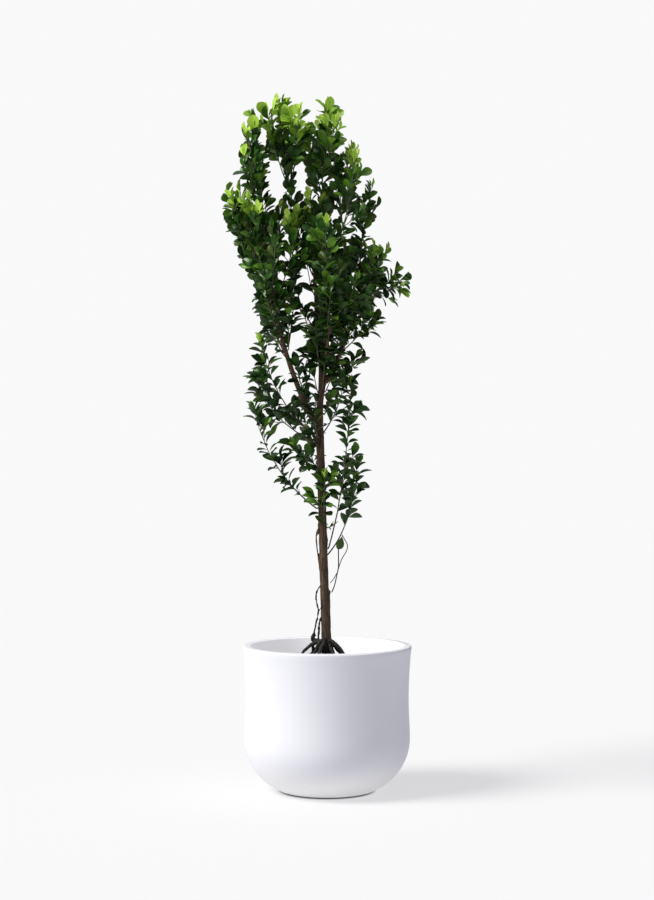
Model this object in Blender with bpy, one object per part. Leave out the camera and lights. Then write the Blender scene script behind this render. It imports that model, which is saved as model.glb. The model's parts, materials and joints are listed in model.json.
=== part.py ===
"""A slender standard shrub in a round white pot, made as separate solids.

Units are metres and +Z is up. The origin is the centre of the pot's flat
underside. The shrub faces -Y, its widest shoots lean towards -X.

The pieces are the pot, its soil, the trunk with its roots, four boughs and the
masses of foliage. A mass is one leafy shoot with its forks and side twigs: it
starts 0.3 mm clear of its limb and keeps to the space that lies nearer to its
own stems than to those of any other mass.
"""

import math
import random

import bmesh
import bpy
from mathutils import Quaternion, Vector
from mathutils.bvhtree import BVHTree

# ---------------------------------------------------------------- dimensions
GAP = 0.0003  # clear space between two pieces that meet
SEED = 11

POT_HEIGHT = 0.325
POT_RIM_RADIUS = 0.190
POT_WAIST_RADIUS = 0.1828
POT_BELLY_RADIUS = 0.1855
POT_BELLY_HEIGHT = 0.117
POT_FOOT_CENTRE = 0.050  # the rounded foot is part of an ellipse about this radius
POT_FOOT_RISE = 0.125  # that ellipse's half height: its lowest 8 mm are cut flat
POT_WALL = 0.018
POT_FLOOR = 0.022
POT_SIDES = 36
SOIL_BELOW_RIM = 0.055

TRUNK_TOP = 1.183
TRUNK_LEAN = -0.030  # sideways, over each metre of height
KINK_HEIGHT = 0.93  # where the trunk bends back over for a hand's breadth
KINK_SIZE = 0.009
KINK_SPREAD = 0.045
TRUNK_SIDES = 10
TRUNK_RINGS = 17
# Height and radius of the trunk, from the soil up to the leader's tip.
TRUNK_TAPER = (
    (0.268, 0.0125), (0.330, 0.0106), (0.420, 0.0100), (0.540, 0.0097), (0.700, 0.0093),
    (0.825, 0.0092), (0.865, 0.0072), (0.930, 0.0060), (1.060, 0.0046), (1.183, 0.0032),
)

ROOT_COUNT = 7
ROOT_SPREAD = 0.068  # how far out a root reaches the soil
ROOT_RADIUS = 0.0046
ROOT_SHOULDER = 0.338  # height at which the roots leave the trunk

LIMB_SIDES = 8
LIMB_RINGS = 8
SHOOT_RADIUS = 0.0021
SHOOT_TIP_RADIUS = 0.0009
TWIG_SIDES = 3
RING_SPACING = 0.045  # between two rings along a shoot

LEAF_LENGTH = 0.054
LEAF_WIDTH = 0.031
LEAF_THICKNESS = 0.0018
LEAF_STEP = 0.0162  # between two leaves along a shoot
LEAF_SINK = 0.25  # how far a leaf's root goes past the middle of its stem, in stem radii
GOLDEN_ANGLE = math.radians(137.5)
SPACE_MARGIN = 0.0030  # kept between a leaf and the border of its mass's space
LIMB_MARGIN = 0.0020

TWIG_STEP = 0.085
TWIG_LENGTH = 0.062
TWIG_ANGLE = math.radians(42)
TWIG_CLEARANCE = 0.020  # between a side twig and the stems of other masses

SOIL_TOP = POT_HEIGHT - SOIL_BELOW_RIM
SOIL_CLEARANCE = 0.0005
POT_WAIST_HEIGHT = 0.205
RIM_EDGE = 0.003
FLOOR_CORNER = 0.014  # how far the slanted corner between wall and floor reaches in
INSIDE_HEIGHTS = (0.034, 0.065, POT_BELLY_HEIGHT, POT_WAIST_HEIGHT, SOIL_TOP)

# A bough: where it leaves its limb, its tip, its two radii, and how its bow
# runs (the share of its sideways and of its upward travel before the bend).
BOUGHS = (
    ("left_bough", "trunk", 0.834, (-0.127, -0.050, 1.178), (0.0072, 0.0027), (0.85, 0.45)),
    ("right_bough", "trunk", 0.915, (0.070, 0.030, 1.119), (0.0050, 0.0025), (0.80, 0.50)),
    ("back_bough", "trunk", 0.862, (0.006, 0.120, 1.108), (0.0052, 0.0025), (0.85, 0.40)),
    ("front_bough", "trunk", 0.955, (0.006, -0.080, 1.069), (0.0042, 0.0024), (0.85, 0.45)),
)

TIP = None  # a shoot that carries on from its limb's tip has no height on it
STRAIGHT = (0.60, 0.48)
ARCHED = (0.80, 0.35)
LOW_ARCH = (0.80, 0.42)
HOOKED = (0.92, 0.30)

# A mass: its limb and the height there, the furthest point of its foliage, its
# bow, and the bare length of stem before its first leaf.
MASSES = (
    ("left_spike", "left_bough", TIP, (-0.163, -0.060, 1.506), STRAIGHT, 0.012),
    ("left_flank", "left_bough", 1.125, (-0.196, -0.020, 1.364), ARCHED, 0.020),
    ("left_low_flank", "left_bough", 1.070, (-0.204, 0.040, 1.292), LOW_ARCH, 0.030),
    ("left_inner", "left_bough", 1.100, (-0.106, 0.020, 1.329), ARCHED, 0.020),
    ("left_back", "left_bough", 1.042, (-0.178, 0.110, 1.330), ARCHED, 0.045),
    ("left_mid", "left_bough", 0.990, (-0.067, -0.030, 1.311), HOOKED, 0.035),
    ("left_front", "left_bough", 1.010, (-0.141, -0.130, 1.170), ARCHED, 0.030),
    ("left_far_back", "left_bough", 1.015, (-0.168, 0.150, 1.245), LOW_ARCH, 0.080),
    ("left_back_low", "left_bough", 0.965, (-0.176, 0.125, 1.131), LOW_ARCH, 0.060),
    ("low_left_out", "trunk", 0.793, (-0.151, -0.060, 1.020), ARCHED, 0.045),
    ("low_left", "trunk", 0.778, (-0.167, 0.080, 0.940), ARCHED, 0.050),
    ("lowest_left", "trunk", 0.632, (-0.167, -0.030, 0.875), ARCHED, 0.050),
    ("low_left_inner", "trunk", 0.695, (-0.056, 0.100, 0.895), ARCHED, 0.040),
    ("low_left_front", "trunk", 0.713, (-0.077, -0.090, 0.784), LOW_ARCH, 0.030),
    ("trunk_front", "trunk", 0.603, (-0.005, -0.060, 0.727), HOOKED, 0.025),
    ("low_right_long", "trunk", 0.542, (0.055, -0.050, 0.937), ARCHED, 0.090),
    ("low_right_out", "trunk", 0.527, (0.071, 0.090, 0.755), HOOKED, 0.060),
    ("centre_skirt", "trunk", 0.935, (-0.025, -0.075, 1.044), LOW_ARCH, 0.020),
    ("right_low", "trunk", 0.802, (0.041, 0.070, 0.940), ARCHED, 0.030),
    ("right_low_back", "trunk", 0.885, (0.070, 0.075, 0.989), LOW_ARCH, 0.040),
    ("right_skirt", "right_bough", 0.985, (0.097, -0.030, 1.078), LOW_ARCH, 0.025),
    ("right_inner", "right_bough", 1.010, (0.039, -0.070, 1.110), HOOKED, 0.025),
    ("right_far", "right_bough", 1.098, (0.163, -0.010, 1.172), LOW_ARCH, 0.020),
    ("right_side", "right_bough", 1.070, (0.121, 0.050, 1.231), ARCHED, 0.025),
    ("right_upper_out", "right_bough", 1.105, (0.106, -0.050, 1.233), ARCHED, 0.020),
    ("right_spike", "right_bough", TIP, (0.085, 0.020, 1.352), STRAIGHT, 0.012),
    ("right_back", "right_bough", 1.040, (0.094, 0.130, 1.197), ARCHED, 0.040),
    ("right_front", "front_bough", 1.030, (0.067, -0.120, 1.149), LOW_ARCH, 0.025),
    ("centre_front", "front_bough", TIP, (-0.005, -0.140, 1.270), STRAIGHT, 0.012),
    ("centre_low_front", "front_bough", 1.000, (0.008, -0.140, 1.138), HOOKED, 0.030),
    ("centre_back", "back_bough", TIP, (-0.005, 0.100, 1.336), STRAIGHT, 0.012),
    ("back_mid", "back_bough", 1.075, (0.011, 0.160, 1.263), ARCHED, 0.020),
    ("back_right", "back_bough", 1.040, (0.053, 0.130, 1.224), ARCHED, 0.025),
    ("back_low", "back_bough", 0.905, (0.014, 0.165, 1.005), LOW_ARCH, 0.025),
    ("upper_right", "trunk", 1.120, (0.063, -0.070, 1.426), ARCHED, 0.030),
    ("top_left", "trunk", 1.154, (-0.105, 0.060, 1.568), ARCHED, 0.030),
    ("top_right", "trunk", TIP, (0.006, -0.040, 1.548), STRAIGHT, 0.012),
)

# A fork: its mass, where on the main stem it leaves (as a share of its length)
# and the furthest point of its foliage.
FORKS = (
    ("upper_right", 0.50, (0.029, 0.075, 1.408)),
    ("top_left", 0.52, (-0.136, -0.020, 1.541)),
    ("top_left", 0.52, (-0.060, -0.065, 1.528)),
    ("top_right", 0.45, (-0.044, 0.095, 1.514)),
    ("left_spike", 0.45, (-0.186, -0.105, 1.425)),
)

COLOURS = {  # linear red, green, blue, and the roughness
    "pot": ((0.80, 0.80, 0.82), 0.75),
    "soil": ((0.030, 0.020, 0.014), 0.95),
    "bark": ((0.090, 0.062, 0.042), 0.85),
    "leaf": ((0.028, 0.085, 0.020), 0.45),
}


# ------------------------------------------------------------------- helpers
def clear_scene():
    for old in list(bpy.data.objects):
        bpy.data.objects.remove(old, do_unlink=True)


def material(name):
    colour, roughness = COLOURS[name]
    made = bpy.data.materials.new(name)
    made.use_nodes = True
    shader = made.node_tree.nodes["Principled BSDF"]
    shader.inputs["Base Color"].default_value = (*colour, 1.0)
    shader.inputs["Roughness"].default_value = roughness
    shader.inputs["Metallic"].default_value = 0.0
    return made


def object_from(name, mesh_builder, finish=None):
    """Turns a bmesh into a named object of the scene."""
    mesh = bpy.data.meshes.new(name)
    mesh_builder.to_mesh(mesh)
    mesh_builder.free()
    made = bpy.data.objects.new(name, mesh)
    bpy.context.scene.collection.objects.link(made)
    if finish is not None:
        made.data.materials.append(finish)
    return made


def shade_round(made, angle=40):
    made.data.shade_smooth()
    made.data.set_sharp_from_angle(angle=math.radians(angle))


def interpolate(table, height):
    """Reads a table of (height, value) rows at one height."""
    for (low, first), (high, second) in zip(table, table[1:]):
        if height <= high:
            share = (height - low) / (high - low)
            return first + (second - first) * max(share, 0.0)
    return table[-1][1]


def bow(start, end, shape, share):
    """A point of the quadratic curve that goes out first and then up."""
    out, rise = shape
    travel = end - start
    bend = start + Vector((travel.x * out, travel.y * out, travel.z * rise))
    rest = 1.0 - share
    return start * rest * rest + bend * 2 * share * rest + end * share * share


def across(direction):
    """Any unit vector at a right angle to the direction."""
    helper = Vector((0.0, 0.0, 1.0)) if abs(direction.z) < 0.9 else Vector((1.0, 0.0, 0.0))
    return direction.cross(helper).normalized()


def directions(points, first=None):
    """The direction of travel at each point of a path."""
    found = []
    for index in range(len(points)):
        ahead = points[min(index + 1, len(points) - 1)]
        behind = points[max(index - 1, 0)]
        found.append((ahead - behind).normalized())
    if first is not None:
        found[0] = first.normalized()
    return found


def tube(name, points, radii, sides, first=None, finish=None):
    """A closed tapering tube along a path, with flat ends."""
    headings = directions(points, first)
    side = across(headings[0])
    built = bmesh.new()
    rings = []
    for index, (point, heading, radius) in enumerate(zip(points, headings, radii)):
        if index:
            side = headings[index - 1].rotation_difference(heading) @ side
        side = (side - heading * side.dot(heading)).normalized()
        other = heading.cross(side)
        ring = []
        for step in range(sides):
            angle = 2 * math.pi * step / sides
            ring.append(built.verts.new(point + (side * math.cos(angle) + other * math.sin(angle)) * radius))
        rings.append(ring)
    for low, high in zip(rings, rings[1:]):
        for step in range(sides):
            after = (step + 1) % sides
            built.faces.new((low[step], low[after], high[after], high[step]))
    built.faces.new(list(reversed(rings[0])))
    built.faces.new(rings[-1])
    return object_from(name, built, finish)


def turned(name, profile, sides, finish):
    """A solid of revolution: the profile runs from the axis, round, back to the axis."""
    built = bmesh.new()
    rings = []
    for radius, height in profile:
        ring = []
        for step in range(sides):
            angle = 2 * math.pi * step / sides
            ring.append(built.verts.new((radius * math.cos(angle), radius * math.sin(angle), height)))
        rings.append(ring)
    for low, high in zip(rings, rings[1:]):
        for step in range(sides):
            after = (step + 1) % sides
            built.faces.new((low[step], low[after], high[after], high[step]))
    built.faces.new(list(reversed(rings[0])))
    built.faces.new(rings[-1])
    return object_from(name, built, finish)


def keep_largest_body(made):
    """Drops loose scraps and the skins of sealed hollows that a union can leave."""
    built = bmesh.new()
    built.from_mesh(made.data)
    waiting = set(built.verts)
    bodies = []
    while waiting:
        body = {waiting.pop()}
        edge_of_search = list(body)
        while edge_of_search:
            vertex = edge_of_search.pop()
            for edge in vertex.link_edges:
                neighbour = edge.other_vert(vertex)
                if neighbour in waiting:
                    waiting.discard(neighbour)
                    body.add(neighbour)
                    edge_of_search.append(neighbour)
        bodies.append(body)
    bodies.sort(key=len)
    for body in bodies[:-1]:
        bmesh.ops.delete(built, geom=list(body), context="VERTS")
    built.to_mesh(made.data)
    built.free()


def apply_modifiers(made):
    evaluated = made.evaluated_get(bpy.context.evaluated_depsgraph_get())
    finished = bpy.data.meshes.new_from_object(evaluated)
    made.modifiers.clear()
    made.data = finished


def fuse(base, others, ground=None):
    """Joins solids into the first one with one union on a collection."""
    group = bpy.data.collections.new(base.name + "_union")
    bpy.context.scene.collection.children.link(group)
    for other in others:
        bpy.context.scene.collection.objects.unlink(other)
        group.objects.link(other)
    union = base.modifiers.new("union", "BOOLEAN")
    union.operation = "UNION"
    union.operand_type = "COLLECTION"
    union.collection = group
    union.solver = "EXACT"
    if ground is not None:
        cut = base.modifiers.new("ground", "BOOLEAN")
        cut.operation = "DIFFERENCE"
        cut.object = ground
        cut.solver = "EXACT"
    apply_modifiers(base)
    for other in others:
        bpy.data.objects.remove(other, do_unlink=True)
    bpy.data.collections.remove(group)
    keep_largest_body(base)
    return base


# ------------------------------------------------------------ limbs as paths
class Limb:
    """A path with a radius at each point, which other limbs and shoots leave."""

    def __init__(self, points, radii):
        self.points = points
        self.radii = radii

    def at_height(self, height):
        """The axis point, direction and radius where the limb passes a height."""
        pairs = list(zip(self.points, self.points[1:], self.radii, self.radii[1:]))
        for low, high, first, second in pairs:
            if low.z <= height <= high.z:
                share = (height - low.z) / (high.z - low.z)
                return low.lerp(high, share), (high - low).normalized(), first + (second - first) * share
        raise ValueError("the limb doesn't reach that height")

    def clearance(self, point):
        """How far a point lies outside the limb's surface."""
        nearest = math.inf
        for low, high, first, second in zip(self.points, self.points[1:], self.radii, self.radii[1:]):
            along = high - low
            share = min(max((point - low).dot(along) / along.length_squared, 0.0), 1.0)
            distance = (point - low.lerp(high, share)).length - (first + (second - first) * share)
            nearest = min(nearest, distance)
        return nearest


def trunk_axis(height):
    lean = TRUNK_LEAN * (height - SOIL_TOP)
    kink = KINK_SIZE * math.exp(-(((height - KINK_HEIGHT) / KINK_SPREAD) ** 2))
    return Vector((lean + kink, 0.0, height))


def trunk_limb():
    span = TRUNK_TOP - SOIL_TOP
    heights = [SOIL_TOP + span * index / (TRUNK_RINGS - 1) for index in range(TRUNK_RINGS)]
    points = [trunk_axis(height) for height in heights]
    radii = [interpolate(TRUNK_TAPER, height) for height in heights]
    return Limb(points, radii)


def leave(limb, height, target, own_radius):
    """Where a limb or shoot starts on another: its foot, its collar and its first direction."""
    if height is TIP:
        heading = (limb.points[-1] - limb.points[-2]).normalized()
        foot = limb.points[-1] + heading * GAP
        return foot, foot + heading * 0.004, heading
    middle, heading, radius = limb.at_height(height)
    aim = target - middle
    outward = (aim - heading * aim.dot(heading)).normalized()
    foot = middle + outward * (radius + GAP + 0.0001)
    return foot, foot + outward * (own_radius + 0.0015), outward


def bough_limb(parent, height, tip, radii, shape):
    foot, collar, outward = leave(parent, height, Vector(tip), radii[0])
    points = [foot]
    sizes = [radii[0]]
    for index in range(LIMB_RINGS):
        share = index / (LIMB_RINGS - 1)
        points.append(bow(collar, Vector(tip), shape, share))
        sizes.append(radii[0] + (radii[1] - radii[0]) * share)
    return Limb(points, sizes), outward


# ------------------------------------------------------------------- foliage
class Shoot:
    """A leafy stem of a mass: points along it, its radii and its bare length."""

    def __init__(self, points, radii, first, bare):
        self.points = points
        self.radii = radii
        self.first = first
        self.bare = bare
        self.lengths = [0.0]
        for low, high in zip(points, points[1:]):
            self.lengths.append(self.lengths[-1] + (high - low).length)

    def at_length(self, length):
        """The axis point, direction and radius at a length along the stem."""
        for index in range(1, len(self.points)):
            if length <= self.lengths[index] or index == len(self.points) - 1:
                low, high = self.points[index - 1], self.points[index]
                share = (length - self.lengths[index - 1]) / (high - low).length
                radius = self.radii[index - 1] * (1 - share) + self.radii[index] * share
                return low.lerp(high, share), (high - low).normalized(), radius
        raise ValueError("the stem has no length")


def shoot_path(start, reach, shape):
    """The stem's points: they stop short of the reach, which the last leaf makes up."""
    length = (reach - start).length
    last = max(1.0 - 0.8 * LEAF_LENGTH / length, 0.35)
    rings = max(3, round(length / RING_SPACING))
    return [bow(start, reach, shape, last * index / rings) for index in range(rings + 1)]


def shoot_radii(count, first, last):
    return [first + (last - first) * index / (count - 1) for index in range(count)]


def main_shoot(limb, height, reach, shape, bare):
    reach = Vector(reach)
    foot, collar, outward = leave(limb, height, reach, SHOOT_RADIUS)
    points = [foot] + shoot_path(collar, reach, shape)
    return Shoot(points, shoot_radii(len(points), SHOOT_RADIUS, SHOOT_TIP_RADIUS), outward, bare)


def fork_shoot(main, share, reach):
    start = main.at_length(main.lengths[-1] * share)[0]
    points = shoot_path(start, Vector(reach), LOW_ARCH)
    return Shoot(points, shoot_radii(len(points), SHOOT_RADIUS * 0.75, SHOOT_TIP_RADIUS), None, 0.02)


def side_twig(parent, length, turn):
    """A short twig that leaves a stem at an angle and bends up."""
    start, heading, _ = parent.at_length(length)
    outward = Quaternion(heading, turn) @ across(heading)
    tilt = outward * math.sin(TWIG_ANGLE) + heading * math.cos(TWIG_ANGLE)
    end = start + tilt * TWIG_LENGTH + Vector((0.0, 0.0, 0.25 * TWIG_LENGTH))
    points = [bow(start, end, LOW_ARCH, share * 0.55) for share in (0.0, 0.5, 1.0)]
    return Shoot(points, shoot_radii(3, SHOOT_RADIUS * 0.6, SHOOT_TIP_RADIUS), None, 0.012)


class Spaces:
    """The stems and leaves of all masses, to tell whose space a point lies in."""

    def __init__(self, limbs):
        self.limbs = limbs
        self.marks = {}
        self.solids = []

    def occupy(self, owner, points, faces):
        """Notes a solid that no leaf of another owner may cut into."""
        self.solids.append((owner, BVHTree.FromPolygons(points, faces)))

    def occupy_object(self, owner, made):
        points = [vertex.co.copy() for vertex in made.data.vertices]
        self.occupy(owner, points, [tuple(face.vertices) for face in made.data.polygons])

    def add(self, mass, shoot):
        marks = self.marks.setdefault(mass, [])
        for low, high in zip(shoot.points, shoot.points[1:]):
            count = max(1, math.ceil((high - low).length / 0.008))
            marks.extend(low.lerp(high, step / count) for step in range(count))
        marks.append(shoot.points[-1])

    def distance(self, mass, point):
        return min((mark - point).length for mark in self.marks[mass])

    def distance_to_others(self, mass, point):
        return min(self.distance(other, point) for other in self.marks if other != mass)

    def clear_of_limbs(self, point, margin):
        return all(limb.clearance(point) > margin for limb in self.limbs)

    def owns(self, mass, point):
        """True where the mass's own stems are the nearest and no limb is close."""
        border = self.distance(mass, point) + SPACE_MARGIN
        return self.distance_to_others(mass, point) > border and self.clear_of_limbs(point, LIMB_MARGIN)

    def takes(self, mass, points):
        """Notes a leaf where it cuts into no limb, no other mass's stem and no leaf."""
        shape = BVHTree.FromPolygons(points, leaf_faces())
        if any(owner != mass and shape.overlap(solid) for owner, solid in self.solids):
            return False
        self.occupy("leaves", points, leaf_faces())
        return True


# Where a leaf's outline points lie, as shares of its length and half its width:
# the root, one side's widest point, the blunt tip and the other widest point.
LEAF_OUTLINE = ((0.0, 0.0), (0.60, 1.0), (0.96, 0.45), (0.96, -0.45), (0.60, -1.0))
LEAF_MIDDLE = (0.50, 0.0)
OUTLINE_COUNT = len(LEAF_OUTLINE)


def leaf_points(root, heading, face):
    """The outline of a leaf that grows along its heading, and the raised middle of its face."""
    side = heading.cross(face)
    found = []
    for along, wide in (*LEAF_OUTLINE, LEAF_MIDDLE):
        found.append(root + heading * along * LEAF_LENGTH + side * wide * LEAF_WIDTH / 2)
    found[-1] = found[-1] + face * LEAF_THICKNESS
    return found


def leaf_faces():
    """A thin closed blade of five faces above and a flat underside."""
    above = [(step, (step + 1) % OUTLINE_COUNT, OUTLINE_COUNT) for step in range(OUTLINE_COUNT)]
    return above + [tuple(reversed(range(OUTLINE_COUNT)))]


def leaf_solid(points):
    built = bmesh.new()
    corners = [built.verts.new(point) for point in points]
    for face in leaf_faces():
        built.faces.new([corners[index] for index in face])
    return object_from("leaf", built)


def place_leaf(spaces, mass, stem, turn, spread):
    """Tries a leaf at its own place, then closer to the stem; gives its points or None."""
    stem_point, heading, stem_radius = stem
    side = across(heading)
    for narrower in (1.0, 0.72, 0.45):
        for swing in (0.0, 0.55, -0.55):
            outward = Quaternion(heading, turn + swing) @ side
            angle = spread * narrower
            growth = (outward * math.sin(angle) + heading * math.cos(angle)).normalized()
            face = (heading - growth * heading.dot(growth)).normalized()
            root = stem_point - growth * LEAF_SINK * stem_radius
            points = leaf_points(root, growth, face)
            tests = points[1:] + [points[0].lerp(points[-1], 0.5)]
            if all(spaces.owns(mass, point) for point in tests) and spaces.takes(mass, points):
                return points
    return None


def leaves_of(spaces, mass, shoot, chance):
    """The leaves along one stem, in a spiral, and the one at its tip."""
    made = []
    total = shoot.lengths[-1]
    length = shoot.bare
    turn = chance.uniform(0, 2 * math.pi)
    while length < total - 0.004:
        share = length / total
        spread = math.radians(58 - 24 * share + chance.uniform(-6, 6))
        found = place_leaf(spaces, mass, shoot.at_length(length), turn, spread)
        if found is not None:
            made.append(leaf_solid(found))
        length += LEAF_STEP * chance.uniform(0.85, 1.15)
        turn += GOLDEN_ANGLE
    found = place_leaf(spaces, mass, shoot.at_length(total - 0.003), turn, math.radians(12))
    if found is not None:
        made.append(leaf_solid(found))
    return made


def stems_of_masses(limbs, spaces):
    """The stems of every mass: the main shoot, its forks and its side twigs."""
    stems = {}
    for name, limb, height, reach, shape, bare in MASSES:
        main = main_shoot(limbs[limb], height, reach, shape, bare)
        stems[name] = [main]
        spaces.add(name, main)
    for name, share, reach in FORKS:
        fork = fork_shoot(stems[name][0], share, reach)
        stems[name].append(fork)
        spaces.add(name, fork)
    chance = random.Random(SEED)
    for name, shoots in stems.items():
        for shoot in list(shoots):
            length = shoot.bare + 0.5 * TWIG_STEP
            turn = chance.uniform(0, 2 * math.pi)
            while length < shoot.lengths[-1] - 0.03:
                twig = side_twig(shoot, length, turn)
                roomy = all(
                    spaces.distance_to_others(name, point) > TWIG_CLEARANCE
                    and spaces.clear_of_limbs(point, 0.01)
                    for point in twig.points[1:]
                )
                if roomy:
                    shoots.append(twig)
                    spaces.add(name, twig)
                length += TWIG_STEP
                turn += GOLDEN_ANGLE
    return stems


def stem_solids(name, shoots, spaces, finish):
    """The tubes of a mass's stems: the main one bears the mass's name."""
    made = []
    for index, shoot in enumerate(shoots):
        title = name if index == 0 else "stem"
        made.append(tube(title, shoot.points, shoot.radii, TWIG_SIDES, shoot.first, finish))
        spaces.occupy_object(name, made[-1])
    return made


def build_masses(stems, spaces, finish):
    """All the masses, each one solid. Gives the number of leaves."""
    solids = {name: stem_solids(name, shoots, spaces, finish) for name, shoots in stems.items()}
    chance = random.Random(SEED + 1)
    total = 0
    for name, shoots in stems.items():
        leaves = []
        for shoot in shoots:
            leaves.extend(leaves_of(spaces, name, shoot, chance))
        fuse(solids[name][0], solids[name][1:] + leaves)
        total += len(leaves)
    return total


# ---------------------------------------------------------------- pot, trunk
def pot_outside(height):
    """The pot's outer radius: a rounded foot, a slight waist and a flared rim."""
    if height < POT_BELLY_HEIGHT:
        fall = (POT_BELLY_HEIGHT - height) / POT_FOOT_RISE
        return POT_FOOT_CENTRE + (POT_BELLY_RADIUS - POT_FOOT_CENTRE) * math.sqrt(1 - fall * fall)
    if height < POT_WAIST_HEIGHT:
        share = (height - POT_BELLY_HEIGHT) / (POT_WAIST_HEIGHT - POT_BELLY_HEIGHT)
        blend = share * share * (3 - 2 * share)
        return POT_BELLY_RADIUS + (POT_WAIST_RADIUS - POT_BELLY_RADIUS) * blend
    share = (height - POT_WAIST_HEIGHT) / (POT_HEIGHT - POT_WAIST_HEIGHT)
    return POT_WAIST_RADIUS + (POT_RIM_RADIUS - POT_WAIST_RADIUS) * share * share


def pot_inside(height):
    return pot_outside(height) - POT_WALL


def build_pot(finish):
    outside = [0.0, 0.008, 0.025, 0.055, POT_BELLY_HEIGHT, POT_WAIST_HEIGHT, SOIL_TOP, POT_HEIGHT - RIM_EDGE]
    profile = [(pot_outside(height), height) for height in outside]
    profile.append((POT_RIM_RADIUS - RIM_EDGE, POT_HEIGHT))
    profile.append((POT_RIM_RADIUS - POT_WALL, POT_HEIGHT))
    profile.extend((pot_inside(height), height) for height in reversed(INSIDE_HEIGHTS))
    profile.append((pot_inside(INSIDE_HEIGHTS[0]) - FLOOR_CORNER, POT_FLOOR))
    shade_round(turned("pot", profile, POT_SIDES, finish))


def build_soil(finish):
    """The potting soil: it fills the pot, clear of its wall and floor all round."""
    profile = [(pot_inside(INSIDE_HEIGHTS[0]) - FLOOR_CORNER, POT_FLOOR + GAP)]
    profile.extend((pot_inside(height) - SOIL_CLEARANCE, height) for height in INSIDE_HEIGHTS)
    turned("soil", profile, POT_SIDES, finish)


def root_tube(index, chance):
    """One surface root: it arches from the trunk's foot down into the soil."""
    angle = 2 * math.pi * (index + 0.15) / ROOT_COUNT
    outward = Vector((math.cos(angle), math.sin(angle), 0.0))
    spread = ROOT_SPREAD * chance.uniform(0.75, 1.15)
    shoulder = ROOT_SHOULDER + chance.uniform(-0.008, 0.006)
    start = trunk_axis(shoulder) + outward * 0.003
    knee = trunk_axis(shoulder - 0.008) + outward * spread * 0.65
    end = outward * spread + Vector((0.0, 0.0, SOIL_TOP - 0.006))
    points = []
    for step in range(6):
        share = step / 5
        rest = 1 - share
        points.append(start * rest * rest + knee * 2 * rest * share + end * share * share)
    return tube("root", points, shoot_radii(6, ROOT_RADIUS * 1.15, ROOT_RADIUS * 0.75), 6)


def aerial_root(points, radius):
    """A thin root that hangs from the trunk in front of it and goes into the soil."""
    return tube("aerial_root", [Vector(point) for point in points], [radius] * len(points), 5)


def build_trunk(limb, finish):
    chance = random.Random(SEED)
    trunk = tube("trunk", limb.points, limb.radii, TRUNK_SIDES, Vector((0.0, 0.0, 1.0)), finish)
    others = [root_tube(index, chance) for index in range(ROOT_COUNT)]
    left = -0.0075
    strand = [trunk_axis(height) + Vector((left, -0.003, 0.0)) for height in (0.585, 0.545, 0.510)]
    strand.append(trunk_axis(0.460) + Vector((left * 0.3, -0.002, 0.0)))
    others.append(tube("strand", strand, [0.0058, 0.0056, 0.0048, 0.0030], 8))
    ridge = [trunk_axis(height) + Vector((0.0085, -0.002, 0.0)) for height in (0.446, 0.395, 0.345)]
    others.append(tube("ridge", ridge + [Vector((0.016, -0.004, 0.300))], [0.0038, 0.0034, 0.0040, 0.0040], 6))
    others.append(aerial_root(((-0.011, -0.004, 0.464), (-0.0225, -0.006, 0.445), (-0.0245, -0.006, 0.428),
                               (-0.0195, -0.006, 0.402), (-0.0262, -0.008, 0.365), (-0.0305, -0.009, 0.333),
                               (-0.0330, -0.010, 0.262)), 0.0022))
    others.append(aerial_root(((-0.006, -0.003, 0.398), (-0.0165, -0.005, 0.376), (-0.0190, -0.005, 0.345),
                               (-0.0200, -0.006, 0.262)), 0.0026))
    low = bmesh.new()
    bmesh.ops.create_cube(low, size=1.0)
    ground = object_from("ground_cutter", low)
    ground.location = (0.0, 0.0, SOIL_TOP + GAP - 0.5)
    ground.hide_render = True
    ground.display_type = "WIRE"
    bpy.context.view_layer.update()
    fuse(trunk, others, ground)
    bpy.data.objects.remove(ground, do_unlink=True)
    shade_round(trunk, 60)


def build_limbs(bark):
    """The trunk and the boughs, as solids and as paths."""
    limbs = {"trunk": trunk_limb()}
    build_trunk(limbs["trunk"], bark)
    for name, parent, height, tip, radii, shape in BOUGHS:
        limb, outward = bough_limb(limbs[parent], height, tip, radii, shape)
        limbs[name] = limb
        shade_round(tube(name, limb.points, limb.radii, LIMB_SIDES, outward, bark), 60)
    return limbs


def main():
    clear_scene()
    build_pot(material("pot"))
    build_soil(material("soil"))
    limbs = build_limbs(material("bark"))
    spaces = Spaces(list(limbs.values()))
    for name in limbs:
        spaces.occupy_object(name, bpy.data.objects[name])
    stems = stems_of_masses(limbs, spaces)
    print("leaves in all:", build_masses(stems, spaces, material("leaf")))


main()
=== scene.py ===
# %% [markdown]
# # A slender standard shrub in a round white pot
# This lesson dresses a finished model of a young evergreen shrub: a bare upright stem,
# four boughs, loose leafy shoots that point upwards, and a plain matt pot. The model
# gives every size and place. Each step below says what a part is on the real plant,
# how it could be made in Blender, and why one way was chosen.

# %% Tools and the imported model
import json
import math
import random

import bmesh
import bpy
import numpy as np
from mathutils import Matrix, Quaternion, Vector, noise
from mathutils.bvhtree import BVHTree

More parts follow.
